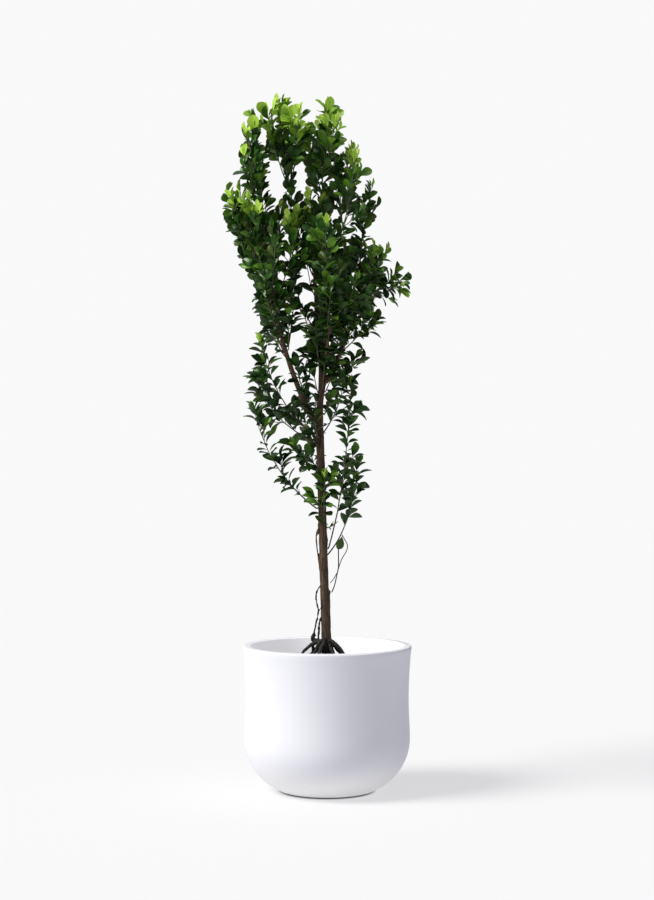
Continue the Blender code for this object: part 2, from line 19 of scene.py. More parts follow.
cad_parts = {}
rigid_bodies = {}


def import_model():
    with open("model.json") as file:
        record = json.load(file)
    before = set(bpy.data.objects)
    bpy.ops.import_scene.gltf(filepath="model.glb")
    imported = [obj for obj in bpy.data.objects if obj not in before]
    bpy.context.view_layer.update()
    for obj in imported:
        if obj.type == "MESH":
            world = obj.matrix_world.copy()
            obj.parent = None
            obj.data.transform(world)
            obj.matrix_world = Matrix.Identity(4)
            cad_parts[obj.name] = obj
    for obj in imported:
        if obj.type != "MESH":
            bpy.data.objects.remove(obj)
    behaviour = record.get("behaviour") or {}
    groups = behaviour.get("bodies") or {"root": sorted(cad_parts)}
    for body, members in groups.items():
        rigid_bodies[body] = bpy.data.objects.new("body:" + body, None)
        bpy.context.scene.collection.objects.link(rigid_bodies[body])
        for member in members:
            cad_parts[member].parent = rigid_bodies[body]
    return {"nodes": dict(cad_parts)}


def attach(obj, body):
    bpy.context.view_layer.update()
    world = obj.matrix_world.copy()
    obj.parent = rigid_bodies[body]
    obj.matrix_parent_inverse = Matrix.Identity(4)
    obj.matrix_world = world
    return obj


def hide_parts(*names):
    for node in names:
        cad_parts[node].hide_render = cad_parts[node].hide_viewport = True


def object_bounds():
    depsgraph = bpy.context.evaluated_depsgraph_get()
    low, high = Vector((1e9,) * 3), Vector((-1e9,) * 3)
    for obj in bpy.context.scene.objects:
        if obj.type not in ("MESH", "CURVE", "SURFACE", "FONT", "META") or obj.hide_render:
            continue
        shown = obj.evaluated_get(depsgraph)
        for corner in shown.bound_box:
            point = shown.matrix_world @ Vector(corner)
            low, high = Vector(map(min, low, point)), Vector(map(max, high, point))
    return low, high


# A new file may hold a cube, a lamp and a camera, which would stand in the plant's way.
for left_over in list(bpy.data.objects):
    bpy.data.objects.remove(left_over)
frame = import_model()
cad_low, cad_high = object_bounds()
scene = bpy.context.scene
print("solids in the model:", len(frame["nodes"]))
print("the model's box:", [round(high - low, 4) for low, high in zip(cad_low, cad_high)])

# %% [markdown]
# ## The camera
# A plant portrait is taken level, from about half the plant's height and from four metres
# away, so that the stem stays upright and the pot shows no soil. A long lens gives that
# with little distortion. The camera looks along +Y, and its height is the horizon's.

# %% Camera
CAMERA_DISTANCE = 4.03
CAMERA_HEIGHT = 0.762
CAMERA_LENS = 71.96

camera_data = bpy.data.cameras.new("camera")
camera_data.lens = CAMERA_LENS
camera_data.sensor_width = 36.0
camera = bpy.data.objects.new("camera", camera_data)
camera.location = (0.0, -CAMERA_DISTANCE, CAMERA_HEIGHT)
camera.rotation_euler = (math.radians(90), 0.0, 0.0)
scene.collection.objects.link(camera)
scene.camera = camera
print("camera at", tuple(round(value, 3) for value in camera.location))

# %% [markdown]
# ## Shader maths as plain sums
# Node graphs are easier to read as sums. A small class wraps a socket, and each operator
# adds the Math node that it stands for. Any other node comes from one method, which takes
# the node's type, its settings and what goes into its sockets.

# %% A socket that can be added and multiplied
class Number:
    """An output socket of a material's graph, ready for sums."""

    def __init__(self, graph, socket):
        self.graph = graph
        self.socket = socket

    def maths(self, operation, first, second):
        return self.graph.node("ShaderNodeMath", {"operation": operation}, {0: first, 1: second})

    def __add__(self, other):
        return self.maths("ADD", self, other)

    def __sub__(self, other):
        return self.maths("SUBTRACT", self, other)

    def __mul__(self, other):
        return self.maths("MULTIPLY", self, other)

    def __rsub__(self, other):
        return self.maths("SUBTRACT", other, self)

    __radd__ = __add__
    __rmul__ = __mul__


# %% A material's graph
# The Mix node has one set of sockets for each type of data. These are the ones for colours.
MIX_FACTOR = 0
MIX_COLOURS = (6, 7)
MIX_RESULT = 2
BLACK = (0.0, 0.0, 0.0)
WHITE = (1.0, 1.0, 1.0)


class Finish:
    """A material that grows from its Principled shader."""

    def __init__(self, name, colour, roughness):
        self.material = bpy.data.materials.new(name)
        self.material.use_nodes = True
        self.tree = self.material.node_tree
        self.shader = self.tree.nodes["Principled BSDF"]
        self.paint((*colour, 1.0))
        self.feed(self.shader.inputs["Roughness"], roughness)

    def feed(self, socket, value):
        if isinstance(value, Number):
            self.tree.links.new(value.socket, socket)
        else:
            socket.default_value = value

    def node(self, kind, settings, values, output=0):
        made = self.tree.nodes.new(kind)
        for name, value in settings.items():
            setattr(made, name, value)
        for name, value in values.items():
            self.feed(made.inputs[name], value)
        return Number(self, made.outputs[output])

    def place(self, scale=(1.0, 1.0, 1.0)):
        """Object coordinates, stretched along each axis."""
        metres = self.node("ShaderNodeTexCoord", {}, {}, "Object")
        return self.node("ShaderNodeMapping", {}, {"Vector": metres, "Scale": scale})

    def along(self, axis):
        """The Object coordinate along one axis."""
        return self.node("ShaderNodeSeparateXYZ", {}, {0: self.place()}, axis)

    def distance(self, scale=(1.0, 1.0, 1.0)):
        """How far a point is from the origin, along the axes that the scale keeps."""
        return self.node("ShaderNodeVectorMath", {"operation": "LENGTH"}, {0: self.place(scale)}, "Value")

    def noise(self, place, scale, detail=3.0):
        values = {"Vector": place, "Scale": scale, "Detail": detail}
        return self.node("ShaderNodeTexNoise", {}, values, "Fac")

    def between(self, number, low, high):
        """The number read as a share of the way from low to high."""
        values = {0: number, 1: low, 2: high, 3: 0.0, 4: 1.0}
        return self.node("ShaderNodeMapRange", {"interpolation_type": "SMOOTHSTEP"}, values)

    def mix(self, share, first, second):
        colours = []
        for colour in (first, second):
            colours.append(colour if isinstance(colour, Number) else (*colour, 1.0))
        values = {MIX_FACTOR: share, MIX_COLOURS[0]: colours[0], MIX_COLOURS[1]: colours[1]}
        return self.node("ShaderNodeMix", {"data_type": "RGBA"}, values, MIX_RESULT)

    def bump(self, height, distance, strength=1.0):
        values = {"Height": height, "Distance": distance, "Strength": strength}
        self.feed(self.shader.inputs["Normal"], self.node("ShaderNodeBump", {}, values))

    def paint(self, colour):
        self.feed(self.shader.inputs["Base Color"], colour)

    def glow(self, colour, strength):
        """Lets the surface shine by itself."""
        self.feed(self.shader.inputs["Emission Color"], colour)
        self.shader.inputs["Emission Strength"].default_value = strength

    def gloss(self, level):
        self.shader.inputs["Specular IOR Level"].default_value = level


# %% [markdown]
# ## Turning a bmesh into a piece
# Every finished piece sits at the origin with its place in its mesh, rides on the one body
# of the plant and hides the solids that it stands for.

# %% Pieces
def piece_from_mesh(name, mesh, materials, stands_for=()):
    made = bpy.data.objects.new(name, mesh)
    for finish in materials:
        mesh.materials.append(finish.material)
    scene.collection.objects.link(made)
    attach(made, "root")
    if stands_for:
        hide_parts(*stands_for)
    print(name, "has", len(mesh.polygons), "faces")
    return made


def mesh_from(name, built):
    mesh = bpy.data.meshes.new(name)
    built.to_mesh(mesh)
    built.free()
    return mesh


# %% [markdown]
# ## The pot
# The real pot is cast in a mould and left matt: a rounded foot, a slight waist and a rim
# that flares a little. It is a body of revolution, so its outline is drawn once, up the
# outside and down the inside, and spun about the axis. The outline comes from the same
# sizes as the solid, with more steps, and the rim's two edges are rounded.

# %% Pot sizes
POT_HEIGHT = 0.325
POT_RIM_RADIUS = 0.1896
POT_WAIST_RADIUS = 0.1828
POT_WAIST_HEIGHT = 0.205
POT_BELLY_RADIUS = 0.1855
POT_BELLY_HEIGHT = 0.117
POT_FOOT_CENTRE = 0.050
POT_FOOT_RISE = 0.125
POT_WALL = 0.018
POT_FLOOR = 0.022
POT_SIDES = 128
SOIL_TOP = 0.270
RIM_ROUNDING = 0.0042
LIP_ROUNDING = 0.002  # the rim's inner edge
FOOT_EDGE = 0.0016


def smooth_step(share):
    return share * share * (3 - 2 * share)


def pot_outside(height):
    """The pot's outer radius: a rounded foot, a slight waist and a flared rim."""
    if height < POT_BELLY_HEIGHT:
        fall = (POT_BELLY_HEIGHT - height) / POT_FOOT_RISE
        return POT_FOOT_CENTRE + (POT_BELLY_RADIUS - POT_FOOT_CENTRE) * math.sqrt(1 - fall * fall)
    if height < POT_WAIST_HEIGHT:
        share = smooth_step((height - POT_BELLY_HEIGHT) / (POT_WAIST_HEIGHT - POT_BELLY_HEIGHT))
        return POT_BELLY_RADIUS + (POT_WAIST_RADIUS - POT_BELLY_RADIUS) * share
    share = (height - POT_WAIST_HEIGHT) / (POT_HEIGHT - POT_WAIST_HEIGHT)
    return POT_WAIST_RADIUS + (POT_RIM_RADIUS - POT_WAIST_RADIUS) * share * share


def pot_inside(height):
    return pot_outside(height) - POT_WALL


for height in (0.0, POT_BELLY_HEIGHT, POT_WAIST_HEIGHT, POT_HEIGHT):
    print("the pot's radius at", height, "is", round(pot_outside(height), 4))


# %% A body of revolution
def spun(profile, sides):
    """A closed body of revolution about the Z axis."""
    built = bmesh.new()
    corners = [built.verts.new((radius, 0.0, height)) for radius, height in profile]
    edges = [built.edges.new(pair) for pair in zip(corners, corners[1:])]
    bmesh.ops.spin(
        built, geom=corners + edges, axis=(0.0, 0.0, 1.0), cent=(0.0, 0.0, 0.0),
        angle=math.tau, steps=sides, use_merge=True,
    )
    bmesh.ops.remove_doubles(built, verts=built.verts, dist=0.00002)
    bmesh.ops.recalc_face_normals(built, faces=built.faces)
    return built


# %% Pot outline and spin
# The steps are closest at the foot, where the curve is tightest.
FOOT_HEIGHTS = [0.004 + 0.113 * (step / 18) ** 1.6 for step in range(19)]
WALL_TOP = POT_HEIGHT - 0.014
WALL_HEIGHTS = [POT_BELLY_HEIGHT + (WALL_TOP - POT_BELLY_HEIGHT) * step / 16 for step in range(1, 17)]

pot_profile = [(0.0, 0.0), (pot_outside(0.0) - 0.004, 0.0), (pot_outside(0.0) - FOOT_EDGE, 0.0004)]
pot_profile.extend((pot_outside(height), height) for height in FOOT_HEIGHTS + WALL_HEIGHTS)
for step in range(7):
    turn = math.radians(90) * step / 6
    pot_profile.append((
        POT_RIM_RADIUS - RIM_ROUNDING + RIM_ROUNDING * math.cos(turn),
        POT_HEIGHT - RIM_ROUNDING + RIM_ROUNDING * math.sin(turn),
    ))
inner_rim = POT_RIM_RADIUS - POT_WALL
for step in range(5):
    turn = math.radians(90) * step / 4
    pot_profile.append((
        inner_rim + LIP_ROUNDING - LIP_ROUNDING * math.sin(turn),
        POT_HEIGHT - LIP_ROUNDING + LIP_ROUNDING * math.cos(turn),
    ))
for height in (0.300, 0.285, SOIL_TOP, POT_WAIST_HEIGHT, 0.160, POT_BELLY_HEIGHT, 0.085, 0.060, 0.040):
    pot_profile.append((pot_inside(height), height))
pot_profile.append((pot_inside(0.040) - 0.018, POT_FLOOR + 0.002))
pot_profile.append((0.0, POT_FLOOR))
pot_mesh = mesh_from("pot_shell", spun(pot_profile, POT_SIDES))
pot_mesh.shade_smooth()
pot_mesh.set_sharp_from_angle(angle=math.radians(50))
print("pot outline points:", len(pot_profile))

# %% [markdown]
# The pot's skin is matt white with a breath of blue, never quite even: a fine stipple from
# the mould, and broad clouds where it is a little smoother. Both are weak, because the
# pot reads as plain from a step away. Under the belly the skin is painted paler and less
# blue, as painted bounce light from the floor. Above the soil its lining has a faint glow,
# which stands for the studio's light from above.

# %% Pot finish
POT_WHITE = (0.785, 0.785, 0.845)
POT_CLOUD = (0.760, 0.760, 0.820)
# The foot's colour: painted bounce light from the floor.
POT_FOOT_BOUNCE_WHITE = (0.870, 0.862, 0.868)
LINING_GLOW = 0.42

pot_finish = Finish("matt_white_cast", POT_WHITE, 0.62)
clouds = pot_finish.noise(pot_finish.place(), 9.0, 4.0)
stipple = pot_finish.noise(pot_finish.place(), 900.0, 2.0)
up_pot = pot_finish.distance((0, 0, 1))
skin = pot_finish.mix(pot_finish.between(clouds, 0.35, 0.75), POT_WHITE, POT_CLOUD)
# Painted bounce light: the skin turns paler and less blue towards the foot.
pot_finish.paint(pot_finish.mix(pot_finish.between(up_pot, 0.030, 0.085), POT_FOOT_BOUNCE_WHITE, skin))
pot_finish.feed(pot_finish.shader.inputs["Roughness"], clouds * 0.16 + 0.56)
pot_finish.bump(stipple, 0.00012, 0.6)
outer = pot_finish.between(pot_finish.distance((1, 1, 0)), inner_rim, inner_rim + 0.004)
lining = (1.0 - outer) * pot_finish.between(up_pot, SOIL_TOP - 0.010, SOIL_TOP + 0.010)
pot_finish.glow(pot_finish.mix(lining, BLACK, WHITE), LINING_GLOW)
piece_from_mesh("pot_shell", pot_mesh, [pot_finish], ["pot"])

# %% [markdown]
# ## The potting soil
# Soil settles lumpy: higher and lower by a few millimetres, with crumbs and bits of bark on
# top. The bed is a spun outline whose upper face gets many rings, then noise lifts its
# vertices. The crumbs are rough little solids. A thousand objects would be slow, so one
# crumb of each kind is kept as arrays, and the arrays are turned, moved and joined.

# %% Soil bed
SOIL_SIDES = 72
SOIL_RINGS = 26
SOIL_LUMP = 0.0035
SOIL_EDGE = 0.0007
soil_radius = pot_inside(SOIL_TOP) - SOIL_EDGE

soil_profile = [(soil_radius * ring / SOIL_RINGS, SOIL_TOP) for ring in range(SOIL_RINGS + 1)]
for height in (POT_WAIST_HEIGHT, POT_BELLY_HEIGHT, 0.065, 0.042):
    soil_profile.append((pot_inside(height) - SOIL_EDGE, height))
soil_profile.append((pot_inside(0.040) - 0.020, POT_FLOOR + 0.003))
soil_profile.append((0.0, POT_FLOOR + 0.003))
soil_bed = spun(soil_profile, SOIL_SIDES)
for vertex in soil_bed.verts:
    if vertex.co.z > SOIL_TOP - 0.001:
        flat = Vector((vertex.co.x, vertex.co.y, 0.0))
        lump = noise.noise(flat * 38) + 0.5 * noise.noise(flat * 110)
        vertex.co.z += SOIL_LUMP * (lump - 0.6)
soil_mesh = mesh_from("soil_bed", soil_bed)
soil_mesh.shade_smooth()
print("the soil's radius:", round(soil_radius, 4))

# %% Soil finish
soil_finish = Finish("potting_soil", (0.022, 0.015, 0.010), 0.95)
grains = soil_finish.noise(soil_finish.place(), 260.0, 5.0)
soil_finish.paint(
    soil_finish.mix(soil_finish.between(grains, 0.4, 0.7), (0.012, 0.009, 0.007), (0.050, 0.034, 0.022))
)
soil_finish.bump(grains, 0.0015, 0.9)
piece_from_mesh("soil_bed", soil_mesh, [soil_finish], ["soil"])


# %% Crumbs from arrays
class Stock:
    """A small mesh kept as arrays, to be repeated many times."""

    def __init__(self, built):
        built.verts.ensure_lookup_table()
        built.verts.index_update()
        self.points = np.array([vertex.co for vertex in built.verts])
        self.faces = np.array([[vertex.index for vertex in face.verts] for face in built.faces])
        self.slots = np.array([face.material_index for face in built.faces])
        built.free()


def joined(name, copies):
    """One mesh from (stock, matrix) pairs whose faces all have as many corners."""
    points = []
    faces = []
    slots = []
    count = 0
    for stock, matrix in copies:
        turn = np.array(matrix.to_3x3())
        points.append(stock.points @ turn.T + np.array(matrix.translation))
        faces.append(stock.faces + count)
        slots.append(stock.slots)
        count += len(stock.points)
    mesh = bpy.data.meshes.new(name)
    mesh.from_pydata(np.concatenate(points).tolist(), [], np.concatenate(faces).tolist())
    mesh.polygons.foreach_set("material_index", np.concatenate(slots))
    mesh.shade_smooth()
    return mesh


def crumb_stock(chance):
    built = bmesh.new()
    bmesh.ops.create_icosphere(built, subdivisions=1, radius=1.0)
    for vertex in built.verts:
        vertex.co *= chance.uniform(0.65, 1.15)
    return Stock(built)


# %% Strewing the crumbs
CRUMB_COUNT = 1100
crumb_chance = random.Random(5)
crumb_kinds = [crumb_stock(crumb_chance) for _ in range(5)]
crumbs = []
for _ in range(CRUMB_COUNT):
    reach = (soil_radius - 0.008) * math.sqrt(crumb_chance.random())
    angle = crumb_chance.uniform(0, math.tau)
    size = crumb_chance.uniform(0.0014, 0.0042)
    seat = Vector((reach * math.cos(angle), reach * math.sin(angle), SOIL_TOP - 0.002))
    shape = Matrix.Diagonal((size, size * crumb_chance.uniform(0.5, 1.0), size * 0.6, 1.0))
    spin = Matrix.Rotation(crumb_chance.uniform(0, math.tau), 4, "Z")
    crumbs.append((crumb_kinds[crumb_chance.randrange(5)], Matrix.Translation(seat) @ spin @ shape))
crumb_finish = Finish("bark_crumbs", (0.045, 0.029, 0.019), 0.9)
piece_from_mesh("soil_crumbs", joined("soil_crumbs", crumbs), [crumb_finish])

# %% [markdown]
# ## Stems as paths
# The stem, the boughs and every shoot are first only paths: points with a radius at each.
# They follow the rules of the solids, so that each leafy shoot starts on its own bough and
# keeps to its reach. A bow is a curve that goes out first and then up, as shoots do.

# %% Curves and directions
def bow(start, end, shape, share):
    """A point of the quadratic curve that goes out first and then up."""
    out, rise = shape
    travel = end - start
    bend = start + Vector((travel.x * out, travel.y * out, travel.z * rise))
    rest = 1.0 - share
    return start * rest * rest + bend * 2 * share * rest + end * share * share


def across(direction):
    """Any unit vector at a right angle to the direction."""
    helper = Vector((0.0, 0.0, 1.0)) if abs(direction.z) < 0.9 else Vector((1.0, 0.0, 0.0))
    return direction.cross(helper).normalized()


def clamped(value, low=0.0, high=1.0):
    return min(max(value, low), high)


def interpolate(table, height):
    """Reads a table of (height, value) rows at one height."""
    for (low, first), (high, second) in zip(table, table[1:]):
        if height <= high:
            share = (height - low) / (high - low)
            return first + (second - first) * max(share, 0.0)
    return table[-1][1]


def even_radii(count, first, last):
    return [first + (last - first) * index / (count - 1) for index in range(count)]


# %% A limb
TIP = None  # in place of a height: the limb goes on from the tip of the other


class Limb:
    """A path with a radius at each point, which other limbs and shoots leave."""

    def __init__(self, points, radii):
        self.points = points
        self.radii = radii

    def at_height(self, height):
        """The axis point, direction and radius where the limb passes a height."""
        pairs = list(zip(self.points, self.points[1:], self.radii, self.radii[1:]))
        for low, high, first, second in pairs:
            if low.z <= height <= high.z:
                share = (height - low.z) / (high.z - low.z)
                heading = (high - low).normalized()
                return low.lerp(high, share), heading, first + (second - first) * share
        raise ValueError("the limb doesn't reach that height")

    def clearance(self, point):
        """How far a point lies outside the limb's surface."""
        nearest = math.inf
        pairs = zip(self.points, self.points[1:], self.radii, self.radii[1:])
        for low, high, first, second in pairs:
            along = high - low
            share = clamped((point - low).dot(along) / along.length_squared)
            distance = (point - low.lerp(high, share)).length
            nearest = min(nearest, distance - (first + (second - first) * share))
        return nearest


# %% Sizes of the stem and the four boughs
TRUNK_TOP = 1.183
TRUNK_LEAN = -0.030
KINK_HEIGHT = 0.93
KINK_SIZE = 0.009
KINK_SPREAD = 0.045
TRUNK_RINGS = 17
TRUNK_TAPER = (  # a height and the stem's radius there
    (0.268, 0.0125), (0.330, 0.0106), (0.420, 0.0100), (0.540, 0.0097), (0.700, 0.0093),
    (0.825, 0.0092), (0.865, 0.0072), (0.930, 0.0060), (1.060, 0.0046), (1.183, 0.0032),
)
LIMB_RINGS = 8
LIMB_GAP = 0.0004
COLLAR = 0.0015
TIP_COLLAR = 0.004
# A bough: what it leaves and how high, its tip, its radius at both ends, and its bow.
BOUGHS = (
    ("left_bough", "trunk", 0.834, (-0.127, -0.050, 1.178), (0.0072, 0.0027), (0.85, 0.45)),
    ("right_bough", "trunk", 0.915, (0.070, 0.030, 1.119), (0.0050, 0.0025), (0.80, 0.50)),
    ("back_bough", "trunk", 0.862, (0.006, 0.120, 1.108), (0.0052, 0.0025), (0.85, 0.40)),
    ("front_bough", "trunk", 0.955, (0.006, -0.080, 1.069), (0.0042, 0.0024), (0.85, 0.45)),
)


# %% The stem and the four boughs
def trunk_axis(height):
    lean = TRUNK_LEAN * (height - SOIL_TOP)
    kink = KINK_SIZE * math.exp(-(((height - KINK_HEIGHT) / KINK_SPREAD) ** 2))
    return Vector((lean + kink, 0.0, height))


def leave(limb, height, target, own_radius):
    """Where a limb or shoot starts on another: its foot and its collar."""
    if height is TIP:
        heading = (limb.points[-1] - limb.points[-2]).normalized()
        foot = limb.points[-1]
        return foot, foot + heading * TIP_COLLAR
    middle, heading, radius = limb.at_height(height)
    aim = target - middle
    outward = (aim - heading * aim.dot(heading)).normalized()
    foot = middle + outward * (radius + LIMB_GAP)
    return foot, foot + outward * (own_radius + COLLAR)


def bough_limb(parent, height, tip, radii, shape):
    foot, collar = leave(parent, height, Vector(tip), radii[0])
    points = [foot]
    sizes = [radii[0]]
    for index in range(LIMB_RINGS):
        share = index / (LIMB_RINGS - 1)
        points.append(bow(collar, Vector(tip), shape, share))
        sizes.append(radii[0] + (radii[1] - radii[0]) * share)
    return Limb(points, sizes)


trunk_heights = [
    SOIL_TOP + (TRUNK_TOP - SOIL_TOP) * ring / (TRUNK_RINGS - 1)
    for ring in range(TRUNK_RINGS)
]
limbs = {
    "trunk": Limb(
        [trunk_axis(height) for height in trunk_heights],
        [interpolate(TRUNK_TAPER, height) for height in trunk_heights],
    )
}
for name, parent, height, tip, radii, shape in BOUGHS:
    limbs[name] = bough_limb(limbs[parent], height, tip, radii, shape)
print("limbs:", ", ".join(limbs))

# %% [markdown]
# ## Round stems from curves
# A bevelled curve with a radius at each point is Blender's quickest way to a tapering
# stem. All the stems of one kind go into one curve, which is then made a mesh.

# %% Tubes
def final_mesh(carrier):
    """The shape of an object with its curve and modifiers worked out. The object goes."""
    scene.collection.objects.link(carrier)
    bpy.context.view_layer.update()
    evaluated = carrier.evaluated_get(bpy.context.evaluated_depsgraph_get())
    mesh = bpy.data.meshes.new_from_object(evaluated)
    bpy.data.objects.remove(carrier)
    mesh.shade_smooth()
    return mesh


def tube_mesh(name, paths, roundness):
    """Many tapering stems as one mesh: each path is (points, radii)."""
    data = bpy.data.curves.new(name, "CURVE")
    data.dimensions = "3D"
    data.bevel_depth = 1.0
    data.bevel_resolution = roundness
    data.use_fill_caps = True
    for points, radii in paths:
        spline = data.splines.new("POLY")
        spline.points.add(len(points) - 1)
        for knot, point, radius in zip(spline.points, points, radii):
            knot.co = (*point, 1.0)
            knot.radius = radius
    return final_mesh(bpy.data.objects.new(name, data))


# %% Smooth paths
def finer(points, radii, step):
    """The same path with points closer together, along a smooth curve."""
    smooth_points = []
    smooth_radii = []
    last = len(points) - 1
    for index in range(last):
        before = points[max(index - 1, 0)]
        low = points[index]
        high = points[index + 1]
        after = points[min(index + 2, last)]
        count = max(1, math.ceil((high - low).length / step))
        for part in range(count):
            share = part / count
            square = share * share
            cube = square * share
            smooth_points.append(
                0.5 * (
                    2 * low + (high - before) * share
                    + (2 * before - 5 * low + 4 * high - after) * square
                    + (3 * low - before - 3 * high + after) * cube
                )
            )
            smooth_radii.append(radii[index] + (radii[index + 1] - radii[index]) * share)
    smooth_points.append(points[last])
    smooth_radii.append(radii[last])
    return smooth_points, smooth_radii


# %% [markdown]
# ## Bark with real relief
# The young bark is brown and grey, split by fine lengthwise cracks, with pale pores, the
# scars of cut shoots and a twin strand where two stems grew together. The tubes of the
# stem and the boughs are fused by a voxel remesh, which also rounds their forks, and noise
# stretched along the stem then moves each vertex in or out. The cracks stay under a
# millimetre deep, as on the plant, and only the knobs stand out further.

# %% Tubes of the woody frame
# The twin strand: heights, how far it stands to the side, and its radii.
STRAND = (
    (0.588, -0.0060, 0.0036), (0.578, -0.0122, 0.0034), (0.566, -0.0152, 0.0018), (0.544, -0.0142, 0.0018),
    (0.515, -0.0112, 0.0021), (0.484, -0.0078, 0.0022), (0.455, -0.0050, 0.0022),
)
RIDGE_SIDE = 0.0085
RIDGE_HEIGHTS = (0.446, 0.395, 0.345)

wood_paths = []
for limb in limbs.values():
    inner_points = list(limb.points)
    if limb is not limbs["trunk"]:
        inner_points[0] = limb.points[0] + (limb.points[0] - limb.points[1]).normalized() * 0.006
    wood_paths.append(finer(inner_points, limb.radii, 0.008))
strand = [trunk_axis(height) + Vector((side, -0.003, 0.0)) for height, side, _ in STRAND]
wood_paths.append(finer(strand, [radius for _, _, radius in STRAND], 0.005))
ridge = [trunk_axis(height) + Vector((RIDGE_SIDE, -0.002, 0.0)) for height in RIDGE_HEIGHTS]
ridge.append(Vector((0.016, -0.004, 0.300)))
wood_paths.append(finer(ridge, [0.0038, 0.0034, 0.0040, 0.0040], 0.006))
# The stub of a cut shoot on the right.
stub_foot = trunk_axis(0.905)
stub = [stub_foot, stub_foot + Vector((0.0085, -0.004, 0.006)), stub_foot + Vector((0.0125, -0.005, 0.016))]
wood_paths.append((stub, [0.0030, 0.0026, 0.0022]))
print("woody tubes:", len(wood_paths))

# %% Fusing the wood
WOOD_VOXEL = 0.0012


def fused(name, paths, voxel):
    """The tubes as one skin, remeshed into small even faces."""
    carrier = bpy.data.objects.new(name, tube_mesh(name, paths, 4))
    remesh = carrier.modifiers.new("remesh", "REMESH")
    remesh.mode = "VOXEL"
    remesh.voxel_size = voxel
    return final_mesh(carrier)


wood_mesh = fused("wood", wood_paths, WOOD_VOXEL)
print("faces of the fused wood:", len(wood_mesh.polygons))

# %% Cracks and knobs
CRACK_DEPTH = 0.0007
GRAIN_DEPTH = 0.00025
LUMP_HEIGHT = 0.0006
KNOB_OFFSET = 0.0095  # from the stem's axis
# A knob or scar: its height, its side of the stem in degrees (0 is +X, -90 the front),
# how far it stands out and how wide it is.
KNOBS = (
    (0.593, 180, 0.0018, 0.010), (0.560, 20, 0.0016, 0.012), (0.524, -85, 0.0016, 0.006),
    (0.444, 0, 0.0024, 0.008), (0.670, -60, 0.0010, 0.007), (0.742, -120, 0.0012, 0.007),
    (0.790, -40, 0.0012, 0.008), (0.834, -150, 0.0014, 0.010), (0.480, -160, 0.0008, 0.008),
)


def relief(point):
    """How far the bark stands out at a point."""
    stretched = Vector((point.x * 520, point.y * 520, point.z * 38))
    crack = 1.0 - abs(noise.noise(stretched)) * 2.6
    grain = noise.noise(Vector((point.x * 1500, point.y * 1500, point.z * 240)))
    lumps = noise.noise(point * 46)
    height = -CRACK_DEPTH * max(crack, 0.0) ** 2 + GRAIN_DEPTH * grain + LUMP_HEIGHT * lumps
    for knob_height, degrees, size, width in KNOBS:
        if abs(point.z - knob_height) > 3 * width:
            continue
        angle = math.radians(degrees)
        axis = trunk_axis(knob_height)
        middle = axis + Vector((math.cos(angle), math.sin(angle), 0.0)) * KNOB_OFFSET
        height += size * math.exp(-(((point - middle).length / width) ** 2) * 2.2)
    return height


def carve(mesh, depth_at):
    """Moves each vertex along its normal by a depth worked out from its place."""
    built = bmesh.new()
    built.from_mesh(mesh)
    bmesh.ops.recalc_face_normals(built, faces=built.faces)
    built.normal_update()
    moves = [vertex.normal * depth_at(vertex.co) for vertex in built.verts]
    for vertex, move in zip(built.verts, moves):
        vertex.co += move
    built.to_mesh(mesh)
    built.free()


THICK_STEM_TOP = 0.84
THICK_STEM_REACH = 0.020
THIN_RELIEF = 0.45


def wood_depth(point):
    """Full relief on the stem, fainter on thin boughs."""
    beside = (point - trunk_axis(clamped(point.z, SOIL_TOP, TRUNK_TOP))).length
    share = 1.0 if beside < THICK_STEM_REACH and point.z < THICK_STEM_TOP else THIN_RELIEF
    return relief(point) * share


carve(wood_mesh, wood_depth)
print("knobs and scars on the stem:", len(KNOBS))

# %% [markdown]
# The bark's colour is built up in coats, as a painter would: brown with dark cracks, redder
# where the stem forks, greyed in patches, dotted with pale pores, green with moss low on
# the right, and black where it meets the roots. Each coat is one Mix node, and its share
# comes from a noise or from the height.

# %% Bark finish
bark_finish = Finish("split_bark", (0.10, 0.07, 0.05), 0.85)
height = bark_finish.along("Z")
cracks = bark_finish.noise(bark_finish.place((1.0, 1.0, 0.09)), 420.0, 4.0)
patches = bark_finish.noise(bark_finish.place((1.0, 1.0, 0.35)), 60.0, 3.0)
pore_values = {"Vector": bark_finish.place((1.0, 1.0, 0.4)), "Scale": 190.0}
pores = bark_finish.node("ShaderNodeTexVoronoi", {}, pore_values, "Distance")

reddish = bark_finish.between(height, 0.83, 0.90) * 0.55
greyish = bark_finish.between(patches, 0.46, 0.70) * 0.6
in_pore = (1.0 - bark_finish.between(pores, 0.06, 0.13)) * 0.45
mossy = bark_finish.between(height, 0.50, 0.36) * bark_finish.between(bark_finish.along("X"), -0.010, 0.010)
washed = bark_finish.between(height, 0.338, 0.312)

bark = bark_finish.mix(bark_finish.between(cracks, 0.36, 0.66), (0.020, 0.011, 0.006), (0.119, 0.069, 0.035))
bark = bark_finish.mix(reddish, bark, (0.170, 0.082, 0.052))
bark = bark_finish.mix(greyish, bark, (0.130, 0.089, 0.050))
bark = bark_finish.mix(in_pore, bark, (0.20, 0.15, 0.10))
bark = bark_finish.mix(mossy * 0.55, bark, (0.075, 0.078, 0.026))
bark = bark_finish.mix(washed, bark, (0.012, 0.011, 0.010))
bark_finish.paint(bark)
bark_finish.bump(cracks, 0.0006, 0.8)
piece_from_mesh("wood", wood_mesh, [bark_finish], list(limbs))

# %% [markdown]
# ## Surface roots
# Old watering has washed the soil from the crown of the roots: they arch down from the
# stem's foot like black fingers, and two thin aerial roots hang beside it. They are fused
# like the wood, with coarser lumps, and nearly black.

# %% Root paths
ROOT_COUNT = 6
ROOT_SPREAD = 0.068
ROOT_RADIUS = 0.0046
ROOT_SHOULDER = 0.338
ROOT_SHIFT = -0.010  # the roots have grown further on the side of the aerial roots
ROOT_STEP = 0.005


